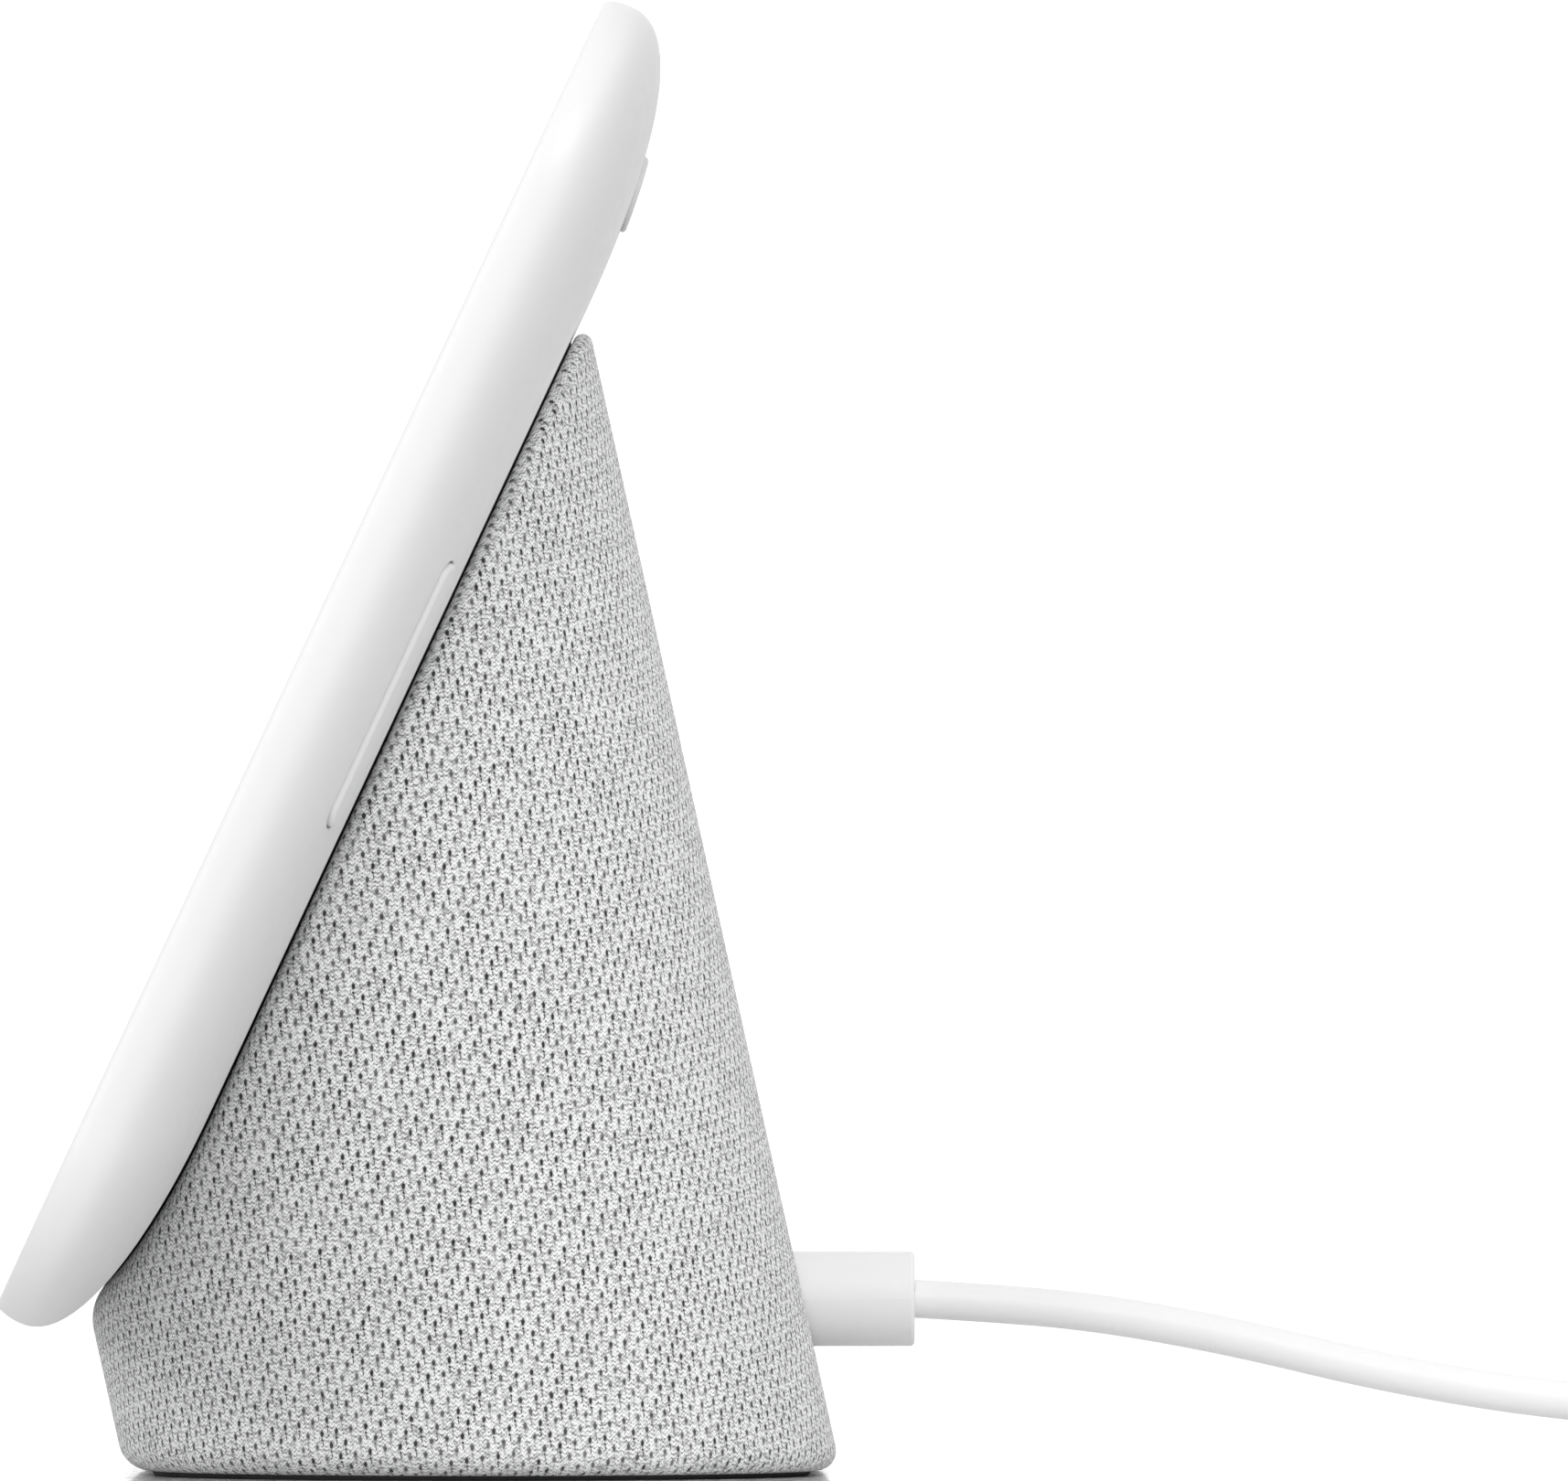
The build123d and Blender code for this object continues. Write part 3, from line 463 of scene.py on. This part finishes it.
def rounded_ring(half_width, half_height, corner, arc_steps=20, side_steps=6):
    """Flat points round a rounded rectangle, the same count at every size, so rings line up."""
    quarter = np.linspace(0, math.pi / 2, arc_steps + 1)
    across, up = [], []
    for turn, (side_x, side_y) in enumerate(((1, 1), (-1, 1), (-1, -1), (1, -1))):
        angle = quarter + turn * math.pi / 2
        across.append(side_x * (half_width - corner) + corner * np.cos(angle))
        up.append(side_y * (half_height - corner) + corner * np.sin(angle))
    ring = []
    for here, (x, y) in enumerate(zip(across, up)):
        following_x, following_y = across[(here + 1) % 4][0], up[(here + 1) % 4][0]
        share = np.linspace(0, 1, side_steps + 1)[1:-1]
        bridge_x = x[-1] + share * (following_x - x[-1])
        bridge_y = y[-1] + share * (following_y - y[-1])
        ring.append(np.stack([np.append(x, bridge_x), np.append(y, bridge_y)], axis=-1))
    return np.concatenate(ring)


def face_ring(inset, depth):
    """A ring of the display: the outline drawn in by an inset, at one depth, its corners tightening."""
    corner = screen_corner - corner_shrink * max(inset, 0)
    flat = rounded_ring(screen_width / 2 - inset, screen_height / 2 - inset, corner)
    return from_face(flat[:, 0], flat[:, 1], np.full(len(flat), depth))


def back_profile(grow=0.0, steps=40):
    """Insets and depths from the widest line to the flat back, spaced evenly round the curve."""
    turn = np.linspace(0, math.pi / 2, steps)
    reach = edge_round + grow
    share = np.cos(turn) ** (2 / edge_power)
    inset = edge_round - reach * share
    return inset, skin_depth(inset, grow)


# %% Rear housing
front_edge = ((1.05, 0.0), (0.78, 0.0), (0.62, 0.03), (0.45, 0.14),
              (0.30, 0.42), (0.17, 0.82), (0.07, 1.25), (0.015, 1.7))


def housing_rings():
    """The closed shell's rings: inside flat, inside curve, lip round the glass, front edge, outside."""
    inner_inset, inner_depth = back_profile(-housing_wall)
    rings = [face_ring(inset, depth) for inset, depth in zip(inner_inset[::-1], inner_depth[::-1])]
    rings.append(face_ring(housing_wall, lip_depth))
    rings.append(face_ring(lip_inset, lip_depth))
    rings.append(face_ring(lip_inset, lip_front))
    for inset, depth in front_edge:
        rings.append(face_ring(inset * MM, depth * MM))
    outer_inset, outer_depth = back_profile()
    rings += [face_ring(inset, depth) for inset, depth in zip(outer_inset, outer_depth)]
    return np.stack(rings)


housing = grid_piece("display_housing", housing_rings()[:, ::-1], start_cap=True, end_cap=True)


# %% Blocks with rounded ends
def pill_block(name, middle, half_width, half_height, floor, cover, edge=0.0):
    """A block with rounded ends between two depth functions, its outer rim rounded by an edge radius."""
    across, up = middle
    centre = 0.96 * min(half_width, half_height)
    corner = 0.98 * min(half_width, half_height)

    def ring(inset, depth_of, drop=0.0):
        flat = rounded_ring(half_width - inset, half_height - inset, corner - inset, 14, 3)
        x, y = flat[:, 0] + across, flat[:, 1] + up
        return from_face(x, y, depth_of(x, y) - drop)

    rings = [ring(inset, floor) for inset in np.linspace(centre, 0, 9)]
    for angle in np.linspace(0, math.pi / 2, 7):
        rings.append(ring(edge * (1 - math.cos(angle)), cover, edge * (1 - math.sin(angle))))
        if edge == 0:
            break
    rings += [ring(inset, cover) for inset in np.linspace(edge, centre, 10)[1:]]
    piece = grid_piece(name, np.stack(rings), start_cap=True, end_cap=True)
    close_rows(piece)
    return piece


def beside_edge(grow):
    """Depth of the back near the display's side edge, grown outward."""
    return lambda across, up: skin_depth(screen_width / 2 - across, grow)


def below_edge(grow):
    """Depth of the back near the display's top edge, grown outward."""
    return lambda across, up: skin_depth(screen_height / 2 - up, grow)


def level(depth):
    """The same depth everywhere."""
    return lambda across, up: np.full(len(across), depth)


# %% Volume rocker and its slot
rocker_half = (1.7 * MM, 11.5 * MM)
rocker_middle = (screen_width / 2 - 7.0 * MM - rocker_half[0], 0.0)
rocker_proud = 0.43 * MM
rocker_floor = 6.1 * MM
rocker_edge = 0.35 * MM
slot_floor = 2.3 * MM

slot = pill_block("rocker_slot", rocker_middle, rocker_half[0] + clearance, rocker_half[1] + clearance,
                  level(slot_floor), level(cut_top))
close_rows(housing)
cut_away(housing, slot)
rocker = pill_block("volume_rocker_cap", rocker_middle, *rocker_half,
                    level(rocker_floor), beside_edge(rocker_proud), rocker_edge)
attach(rocker, "rocker")
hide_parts("volume_rocker")

# %% Microphone switch, its recess and the warning patch
knob_half = (5.5 * MM, 3.15 * MM)
knob_travel = 4.0 * MM
knob_proud = 0.45 * MM
knob_edge = 0.3 * MM
knob_up = screen_height / 2 - 9.3 * MM - knob_half[1]
knob_rest = (-knob_travel / 2, knob_up)
recess_depth = 0.8 * MM
recess_half = (knob_half[0] + knob_travel / 2 + clearance, knob_half[1] + clearance)

recess = pill_block("knob_recess", (0.0, knob_up), *recess_half,
                    below_edge(-recess_depth), level(cut_top))
cut_away(housing, recess)
knob = pill_block("mic_switch_cap", knob_rest, *knob_half,
                  below_edge(clearance - recess_depth), below_edge(knob_proud), knob_edge)
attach(knob, "mic_knob")
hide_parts("mic_switch_knob")

patch_half = (2.4 * MM, 3.0 * MM)
patch_sunk = 0.1 * MM
patch_raised = 0.06 * MM
patch = pill_block("mic_off_patch", (-recess_half[0] + patch_half[0] + clearance, knob_up), *patch_half,
                   below_edge(-recess_depth - patch_sunk), below_edge(-recess_depth + patch_raised))
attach(patch, "display_and_base")
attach(housing, "display_and_base")
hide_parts("rear_housing")
print("housing, rocker, switch and patch are made")

# %% [markdown]
# ## Light and floor
#
# The object stands on a plain pale floor in a white room. The room lights every side softly, more
# from overhead and less from behind, and its far wall is the brightest. The floor is slightly
# polished, so at a low angle it mirrors that far wall and the ground reads as white as the room.
# Two broad lamps, one before the display and one beside it, give the rounded edges their slow
# change from light to grey. Colours are shown plainly, with no film curve, so white stays white.

# %% Room, floor and lamps
room = bpy.data.worlds.new("white_room")
bpy.context.scene.world = room
room.use_nodes = True
bpy.context.scene.view_settings.view_transform = "Standard"

floor_half = 1.5
floor_mesh = bpy.data.meshes.new("floor")
floor_corners = [(-floor_half, -floor_half, 0), (floor_half, -floor_half, 0)]
floor_corners += [(floor_half, floor_half, 0), (-floor_half, floor_half, 0)]
floor_mesh.from_pydata(floor_corners, [], [(0, 1, 2, 3)])
floor = bpy.data.objects.new("floor", floor_mesh)
bpy.context.scene.collection.objects.link(floor)


def lamp(name, place, target, size, power):
    """A square soft lamp that faces a target point."""
    light = bpy.data.lights.new(name, "AREA")
    light.size = size
    light.energy = power
    holder = bpy.data.objects.new(name, light)
    holder.location = place
    holder.rotation_euler = (Vector(target) - Vector(place)).to_track_quat("-Z", "Y").to_euler()
    bpy.context.scene.collection.objects.link(holder)


lamp_target = (0, 0, 60.0 * MM)
lamp_size = 0.6
lamp("front_lamp", (0.95, -0.95, 0.5), lamp_target, lamp_size, 4.3)
lamp("side_lamp", (1.15, 0.25, 0.72), lamp_target, lamp_size, 6.1)

# %% [markdown]
# ## Finishes
#
# A finish is a small graph of nodes. Helpers keep each graph short: one adds a node and fills its
# sockets, the others do one step each. A plain finish has a base colour that wanders a little, a
# roughness that wanders too, and a fine bump, all from noise in the object's own coordinates.

# %% Node helpers
def node(tree, kind, settings=None, **sockets):
    """Add a node, set its options, and fill sockets with links or plain values.

    A socket is given by its name, or by its number as s0, s1 and so on.
    """
    made = tree.nodes.new("ShaderNode" + kind)
    for option, value in (settings or {}).items():
        setattr(made, option, value)
    for socket, value in sockets.items():
        key = int(socket[1:]) if socket[1:].isdigit() else socket.replace("_", " ")
        place = made.inputs[key]
        if isinstance(value, bpy.types.NodeSocket):
            tree.links.new(value, place)
        else:
            place.default_value = value
    return made


def sum_of(tree, operation, first, second=0.0, third=0.0):
    """One step of arithmetic on sockets or plain numbers."""
    return node(tree, "Math", {"operation": operation}, s0=first, s1=second, s2=third).outputs[0]


def ramp(tree, value, low, high, to_low=0.0, to_high=1.0):
    """A smooth step: one number below the low mark, another above the high mark."""
    made = node(tree, "MapRange", {"interpolation_type": "SMOOTHSTEP"}, Value=value,
                From_Min=low, From_Max=high, To_Min=to_low, To_Max=to_high)
    return made.outputs[0]


def mix_colour(tree, share, first, second):
    """Blend two colours, each a socket or four numbers."""
    made = node(tree, "Mix", {"data_type": "RGBA"}, s0=share, s6=first, s7=second)
    return made.outputs[2]


def blank(name):
    """A new material with its node tree and main shader."""
    material = bpy.data.materials.new(name)
    material.use_nodes = True
    tree = material.node_tree
    return material, tree, tree.nodes["Principled BSDF"]


def connect(tree, source, shader, socket):
    """Feed one socket of the main shader."""
    tree.links.new(source, shader.inputs[socket])


def shade(level):
    """A neutral grey as four numbers."""
    return (level, level, level, 1.0)


def vector_of(tree, operation, first, second):
    """One step of arithmetic on two vectors."""
    return node(tree, "VectorMath", {"operation": operation}, s0=first, s1=second).outputs[0]


def dot_of(tree, first, second):
    """How far one vector reaches along another."""
    made = node(tree, "VectorMath", {"operation": "DOT_PRODUCT"}, s0=first, s1=second)
    return made.outputs["Value"]


def flat_length(tree, across, up):
    """Distance of a point in a plane from the plane's middle."""
    point = node(tree, "CombineXYZ", X=across, Y=up).outputs[0]
    return node(tree, "VectorMath", {"operation": "LENGTH"}, s0=point).outputs["Value"]


# %% Room light
def light_the_room(tree, plain, overhead, behind, far_wall):
    """Plain light all round, more from overhead, less from behind, and a bright wall at the far side."""
    toward = node(tree, "SeparateXYZ", Vector=node(tree, "TexCoord").outputs["Generated"])
    light = sum_of(tree, "ADD", plain, ramp(tree, toward.outputs["Z"], 0.0, 1.0, 0.0, overhead))
    light = sum_of(tree, "ADD", light, ramp(tree, toward.outputs["Y"], -0.5, 0.8, 0.0, -behind))
    light = sum_of(tree, "ADD", light, ramp(tree, toward.outputs["X"], -0.7, -0.95, 0.0, far_wall))
    tree.links.new(light, tree.nodes["Background"].inputs["Strength"])
    tree.nodes["Background"].inputs["Color"].default_value = (1.0, 1.0, 1.0, 1.0)


light_the_room(room.node_tree, plain=0.82, overhead=0.36, behind=0.17, far_wall=0.46)


# %% Plain finishes
def plain_finish(name, colour, roughness, grain=700.0, wander=0.06, bump=0.02,
                 metal=0.0, coat=0.0, stretch=(1, 1, 1)):
    """A finish whose colour and gloss wander with slow noise, over a fine grain in the surface."""
    material, tree, shader = blank(name)
    place = node(tree, "TexCoord").outputs["Object"]
    drawn = node(tree, "Mapping", Vector=place, Scale=stretch).outputs[0]
    slow = node(tree, "TexNoise", Vector=drawn, Scale=grain * 0.08, Detail=3.0).outputs["Fac"]
    fine = node(tree, "TexNoise", Vector=drawn, Scale=grain, Detail=2.0).outputs["Fac"]
    dark = tuple(channel * (1 - wander) for channel in colour[:3]) + (1.0,)
    light = tuple(min(1.0, channel * (1 + wander)) for channel in colour[:3]) + (1.0,)
    connect(tree, mix_colour(tree, slow, dark, light), shader, "Base Color")
    connect(tree, ramp(tree, fine, 0.3, 0.7, roughness - 0.04, roughness + 0.05), shader, "Roughness")
    raised = node(tree, "Bump", Height=fine, Strength=0.35, Distance=bump * MM)
    connect(tree, raised.outputs[0], shader, "Normal")
    shader.inputs["Metallic"].default_value = metal
    shader.inputs["Coat Weight"].default_value = coat
    return material


# %% [markdown]
# ## The heathered knit
#
# The cover's UV map is in metres, so the knit can be laid out in real stitches. The map is sheared:
# on the right-hand end the columns of stitches stand upright, although the wall leans. Open holes
# sit on a leaning lattice: every third stitch along a row, and every third row. A lattice is undone
# by two dot products, which count whole steps along its two sides; what is left over says where in
# its cell a point lies. The lattice's long side is set so that a whole number of cells closes round
# the oval.

# %% Knit lattice
cells_round = 241
rows_round = 45
row_step = np.array([0.454, 1.116])
oval_mm = oval_length / MM
cell_step = np.array([oval_mm + rows_round * row_step[0], rows_round * row_step[1]]) / cells_round
wale_step = cell_step / 3
course_step = (row_step - wale_step) / 3
stitch_height = 0.349
hole_shade_tone = 0.035


def in_cell(tree, place, first, second, shift=(0.0, 0.0)):
    """Undo a lattice: the offset from its nearest point, and a random number that point keeps."""
    inverse = np.linalg.inv(np.array([first, second]).T)
    offset = vector_of(tree, "SUBTRACT", place, (*shift, 0.0))
    left_over, whole = [], []
    for row in inverse:
        dot = dot_of(tree, offset, (*row, 0.0))
        nearest = sum_of(tree, "ROUND", dot)
        whole.append(nearest)
        left_over.append(sum_of(tree, "SUBTRACT", dot, nearest))
    sides = []
    for axis in (0, 1):
        part = sum_of(tree, "MULTIPLY", left_over[0], float(first[axis]))
        sides.append(sum_of(tree, "MULTIPLY_ADD", left_over[1], float(second[axis]), part))
    chance = node(tree, "TexWhiteNoise", {"noise_dimensions": "2D"},
                  Vector=node(tree, "CombineXYZ", X=whole[0], Y=whole[1]).outputs[0])
    return sides[0], sides[1], chance.outputs["Value"]


def oval_mark(tree, across, up, half_width, half_height, blur=0.35):
    """One inside a small oval and zero outside it, with a soft edge."""
    x = sum_of(tree, "DIVIDE", across, half_width)
    y = sum_of(tree, "DIVIDE", up, half_height)
    return ramp(tree, flat_length(tree, x, y), 1 + blur, 1 - blur)


def drawn_noise(tree, place, turn, stretch, scale):
    """Noise drawn out into streaks: turned first, then squeezed across."""
    turned = node(tree, "Mapping", Vector=place, Rotation=(0, 0, turn), Scale=stretch).outputs[0]
    return node(tree, "TexNoise", Vector=turned, Scale=scale, Detail=3.0).outputs["Fac"]


# %% Knit material
# Each mark: its place in the cell, its half width and half height in mm, its least and most strength.
knit_marks = (
    ((0.0, 0.0), (0.155, 0.29), 0.80, 1.0),
    ((0.02, -0.52), (0.11, 0.10), 0.45, 1.0),
    ((0.07, -0.85), (0.055, 0.21), 0.30, 0.90),
    ((-0.20, -0.40), (0.05, 0.13), 0.10, 0.60),
    ((0.62, -0.15), (0.07, 0.07), 0.20, 0.80),
)


def knit_finish():
    """Light heathered yarn with leaning stitches, open holes on a lattice, and a bump to match; holes,
    dots, column gaps and stitch troughs are painted shade.
    """
    material, tree, shader = blank("grey_knit")
    place = node(tree, "UVMap", {"uv_map": "surface"}).outputs[0]
    place = node(tree, "VectorMath", {"operation": "SCALE"}, s0=place, Scale=1 / MM).outputs[0]
    wobble = node(tree, "TexNoise", Vector=place, Scale=1.3, Detail=2.0).outputs["Color"]
    wobble = node(tree, "VectorMath", {"operation": "MULTIPLY_ADD"}, s0=wobble,
                  s1=(0.16, 0.16, 0), s2=(-0.08, -0.08, 0)).outputs[0]
    bent = vector_of(tree, "ADD", place, wobble)

    # The holes are not cut: each mark fades the yarn toward a near-black tone, painted shade in the
    # openings.
    holes = 0.0
    for shift, (half_width, half_height), least, most in knit_marks:
        across, up, chance = in_cell(tree, bent, cell_step, row_step, shift)
        strength = ramp(tree, chance, 0.0, 1.0, least, most)
        mark = sum_of(tree, "MULTIPLY", oval_mark(tree, across, up, half_width, half_height), strength)
        holes = sum_of(tree, "MAXIMUM", mark, holes)

    # The stitch wave makes each loop lighter at its crest and darker in its trough: painted light and
    # shade.
    across, up, chance = in_cell(tree, bent, wale_step, course_step)
    leg = sum_of(tree, "MULTIPLY", sum_of(tree, "ABSOLUTE", across), 1.3)
    lifted = sum_of(tree, "SUBTRACT", up, leg)
    wave = sum_of(tree, "SINE", sum_of(tree, "MULTIPLY", lifted, 2 * math.pi / stitch_height))
    stitch = ramp(tree, wave, -0.9, 0.7)
    # Gaps between stitch columns and the small dots are darkened: painted shade in creases and openings.
    column = ramp(tree, sum_of(tree, "ABSOLUTE", across), 0.12, 0.21, 0.0, 0.45)
    dot_strength = ramp(tree, chance, 0.4, 1.0, 0.0, 0.6)
    dots = sum_of(tree, "MULTIPLY", oval_mark(tree, across, up, 0.07, 0.07), dot_strength)
    strands = drawn_noise(tree, place, 0.9, (1, 2.4, 1), 1.6)
    patches = drawn_noise(tree, place, -0.12, (0.6, 1.5, 1), 0.35)

    yarn = ramp(tree, strands, 0.36, 0.60, 0.50, 1.16)
    yarn = sum_of(tree, "MULTIPLY", yarn, ramp(tree, patches, 0.32, 0.68, 0.90, 1.08))
    yarn = sum_of(tree, "MULTIPLY", yarn, ramp(tree, stitch, 0.0, 0.8, 0.60, 1.08))
    yarn = sum_of(tree, "MINIMUM", yarn, 0.95)
    # Holes, dots and column gaps pull the colour toward near black: painted shade.
    shadow = sum_of(tree, "MAXIMUM", dots, sum_of(tree, "MULTIPLY", column, 0.30))
    shadow = sum_of(tree, "MAXIMUM", holes, shadow)
    tone = node(tree, "Mix", {"data_type": "FLOAT"}, s0=shadow, s2=yarn, s3=hole_shade_tone).outputs[0]
    cool = sum_of(tree, "MULTIPLY", tone, 1.01)
    colour = node(tree, "CombineColor", Red=tone, Green=tone, Blue=cool).outputs[0]
    connect(tree, colour, shader, "Base Color")
    height = sum_of(tree, "SUBTRACT", sum_of(tree, "MULTIPLY", stitch, 0.4), shadow)
    raised = node(tree, "Bump", Height=height, Strength=0.6, Distance=0.12 * MM)
    connect(tree, raised.outputs[0], shader, "Normal")
    shader.inputs["Roughness"].default_value = 0.95
    shader.inputs["Sheen Weight"].default_value = 0.15
    shader.inputs["Specular IOR Level"].default_value = 0.1
    return material


# %% [markdown]
# ## The front glass
#
# The glass is one flat sheet, printed white on the inside all round, with a clear window over the
# screen. The screen is off, so the window is almost black. The window is a rounded rectangle: the
# distance to its edge comes from how far a point lies past the straight sides, measured in the
# face's own directions. A small grey dot of print marks the light sensor between the two
# microphone holes.

# %% Glass finish
window_half = (77.0, 43.5)
window_corner = 1.5
sensor_print_up = screen_height / MM / 2 - 5.6


def face_coordinates(tree):
    """Millimetres across the face and up along it, from the object's own coordinates."""
    place = node(tree, "TexCoord").outputs["Object"]
    moved = vector_of(tree, "SUBTRACT", place, (0, face_middle_y, face_middle_z))
    along = []
    for direction in ((1, 0, 0), (0, math.sin(tilt), math.cos(tilt))):
        scaled = tuple(part / MM for part in direction)
        along.append(dot_of(tree, moved, scaled))
    return place, along[0], along[1]


def rounded_distance(tree, across, up, half, corner):
    """Distance outside a rounded rectangle, negative inside."""
    past = []
    for value, reach in ((across, half[0]), (up, half[1])):
        past.append(sum_of(tree, "SUBTRACT", sum_of(tree, "ABSOLUTE", value), reach - corner))
    outside = [sum_of(tree, "MAXIMUM", value, 0.0) for value in past]
    reach = sum_of(tree, "SQRT", sum_of(tree, "MULTIPLY_ADD", outside[0], outside[0],
                                        sum_of(tree, "MULTIPLY", outside[1], outside[1])))
    inside = sum_of(tree, "MINIMUM", sum_of(tree, "MAXIMUM", past[0], past[1]), 0.0)
    return sum_of(tree, "SUBTRACT", sum_of(tree, "ADD", reach, inside), corner)


def glass_finish():
    """White print round a dark window, one glossy coat over both, with faint wipe marks."""
    material, tree, shader = blank("printed_glass")
    place, across, up = face_coordinates(tree)
    window = ramp(tree, rounded_distance(tree, across, up, window_half, window_corner), 0.1, -0.1)
    print_grain = node(tree, "TexNoise", Vector=place, Scale=900.0, Detail=2.0).outputs["Fac"]
    border = mix_colour(tree, print_grain, shade(0.70), shade(0.76))
    reach = flat_length(tree, across, sum_of(tree, "SUBTRACT", up, sensor_print_up))
    border = mix_colour(tree, ramp(tree, reach, 1.35, 1.15), border, shade(0.42))
    screen = mix_colour(tree, print_grain, (0.010, 0.011, 0.014, 1), (0.014, 0.015, 0.018, 1))
    connect(tree, mix_colour(tree, window, border, screen), shader, "Base Color")
    drawn = node(tree, "Mapping", Vector=place, Scale=(1, 4, 1)).outputs[0]
    wipes = node(tree, "TexNoise", Vector=drawn, Scale=18.0, Detail=5.0).outputs["Fac"]
    connect(tree, ramp(tree, wipes, 0.35, 0.75, 0.07, 0.16), shader, "Roughness")
    shader.inputs["IOR"].default_value = 1.5
    shader.inputs["Coat Weight"].default_value = 0.3
    shader.inputs["Coat Roughness"].default_value = 0.05
    return material


# %% Boards and woven finishes
def board_finish():
    """Dark green lacquer over a brick-like pattern of tracks, with tinned dots scattered on it."""
    material, tree, shader = blank("green_board")
    place = node(tree, "TexCoord").outputs["Object"]
    tracks = node(tree, "TexBrick", {"offset": 0.5, "squash": 1.0}, Vector=place, Scale=260.0,
                  Mortar_Size=0.045, Mortar_Smooth=0.2, Brick_Width=1.3, Row_Height=0.45).outputs["Fac"]
    pads = node(tree, "TexVoronoi", Vector=place, Scale=420.0).outputs["Distance"]
    lacquer = mix_colour(tree, tracks, (0.012, 0.075, 0.040, 1), (0.035, 0.150, 0.070, 1))
    pad_mask = ramp(tree, pads, 0.16, 0.10)
    connect(tree, mix_colour(tree, pad_mask, lacquer, (0.62, 0.60, 0.55, 1)), shader, "Base Color")
    connect(tree, pad_mask, shader, "Metallic")
    raised = node(tree, "Bump", Height=tracks, Strength=0.4, Distance=0.03 * MM)
    connect(tree, raised.outputs[0], shader, "Normal")
    shader.inputs["Roughness"].default_value = 0.32
    return material


def woven_finish(name, low, high, threads):
    """Crossing threads: two waves at right angles set colour and height."""
    material, tree, shader = blank(name)
    place = node(tree, "TexCoord").outputs["Object"]
    first, second = [node(tree, "TexWave", {"bands_direction": direction}, Vector=place,
                          Scale=threads, Distortion=0.6).outputs["Fac"] for direction in ("X", "Z")]
    crossed = sum_of(tree, "MULTIPLY", sum_of(tree, "ADD", first, second), 0.5)
    connect(tree, mix_colour(tree, crossed, low, high), shader, "Base Color")
    raised = node(tree, "Bump", Height=crossed, Strength=0.5, Distance=0.08 * MM)
    connect(tree, raised.outputs[0], shader, "Normal")
    shader.inputs["Roughness"].default_value = 0.9
    return material


# %% [markdown]
# ## A finish for every slot
#
# Each CAD piece came with a named slot. The table below gives every slot its finish, and one loop
# puts them on. Most pieces made here take theirs by the same names. The plug, the orange patch and
# the floor have finishes of their own.

# %% Finish table
finishes = {
    "white_shell": plain_finish("white_satin", shade(0.655), 0.42, wander=0.015, bump=0.006),
    "display_glass": glass_finish(),
    "panel": plain_finish("screen_panel", (0.03, 0.032, 0.036, 1), 0.2, wander=0.2),
    "dark_plastic": plain_finish("black_plastic", shade(0.02), 0.45, wander=0.2),
    "grey_plastic": plain_finish("grey_plastic", shade(0.24), 0.5, wander=0.08),
    "circuit_board": board_finish(),
    "chip_black": plain_finish("chip_resin", shade(0.018), 0.4, grain=1500.0, wander=0.25),
    "tinned_steel": plain_finish("tinned_steel", shade(0.62), 0.28, metal=1.0, stretch=(1, 9, 1)),
    "aluminium_sheet": plain_finish("aluminium", shade(0.72), 0.35, metal=1.0, stretch=(9, 1, 1)),
    "zinc_steel": plain_finish("zinc_steel", (0.60, 0.61, 0.63, 1), 0.33, metal=1.0),
    # This black finish also covers the band in the gap, where its black is painted shadow.
    "soft_rubber": plain_finish("black_foam_and_gap_shadow", shade(0.006), 0.9, grain=1200.0, wander=0.3),
    "foot_rubber": plain_finish("foot_rubber", shade(0.045), 0.8, grain=900.0, wander=0.25, bump=0.04),
    "knit_fabric": knit_finish(),
    "flex_film": plain_finish("amber_film", (0.42, 0.16, 0.035, 1), 0.25, wander=0.1, coat=0.4),
    "cable_sheath": plain_finish("cord_sheath", shade(0.80), 0.5, grain=1500.0, wander=0.02, bump=0.01),
    "dark_cable": plain_finish("harness_sheath", shade(0.03), 0.5, wander=0.2),
    "paper_cone": plain_finish("pressed_paper", shade(0.035), 0.9, grain=500.0, wander=0.35, bump=0.08),
    "ferrite": plain_finish("ferrite", shade(0.05), 0.6, wander=0.3, bump=0.05),
    "nickel": plain_finish("nickel", (0.66, 0.63, 0.58, 1), 0.18, metal=1.0, stretch=(1, 7, 1)),
    "tie_cloth": woven_finish("tie_cloth", shade(0.45), shade(0.72), 700.0),
}
plug_finish = plain_finish("plug_white", shade(0.80), 0.5, wander=0.015, bump=0.006)
orange_finish = plain_finish("orange_print", (0.85, 0.20, 0.03, 1), 0.5)


def put_on(piece, finish):
    """Give a piece one finish and nothing else."""
    piece.data.materials.clear()
    piece.data.materials.append(finish)


for name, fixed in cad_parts.items():
    slot_name = fixed.material_slots[0].material.name
    fixed.material_slots[0].material = finishes[slot_name]
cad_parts["dc_plug"].material_slots[0].material = plug_finish
for piece in (housing, rocker, knob):
    put_on(piece, finishes["white_shell"])
put_on(patch, orange_finish)
put_on(knit_cover, finishes["knit_fabric"])
# The band in the gap takes the black finish as painted shadow.
put_on(gap_shadow_band, finishes["soft_rubber"])
put_on(power_lead, finishes["cable_sheath"])
floor_finish = plain_finish("polished_floor", shade(0.76), 0.05, wander=0.0, bump=0.0)
floor_finish.node_tree.nodes["Principled BSDF"].inputs["IOR"].default_value = 1.05
put_on(floor, floor_finish)
print(len(finishes), "finishes on", len(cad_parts), "construction pieces")
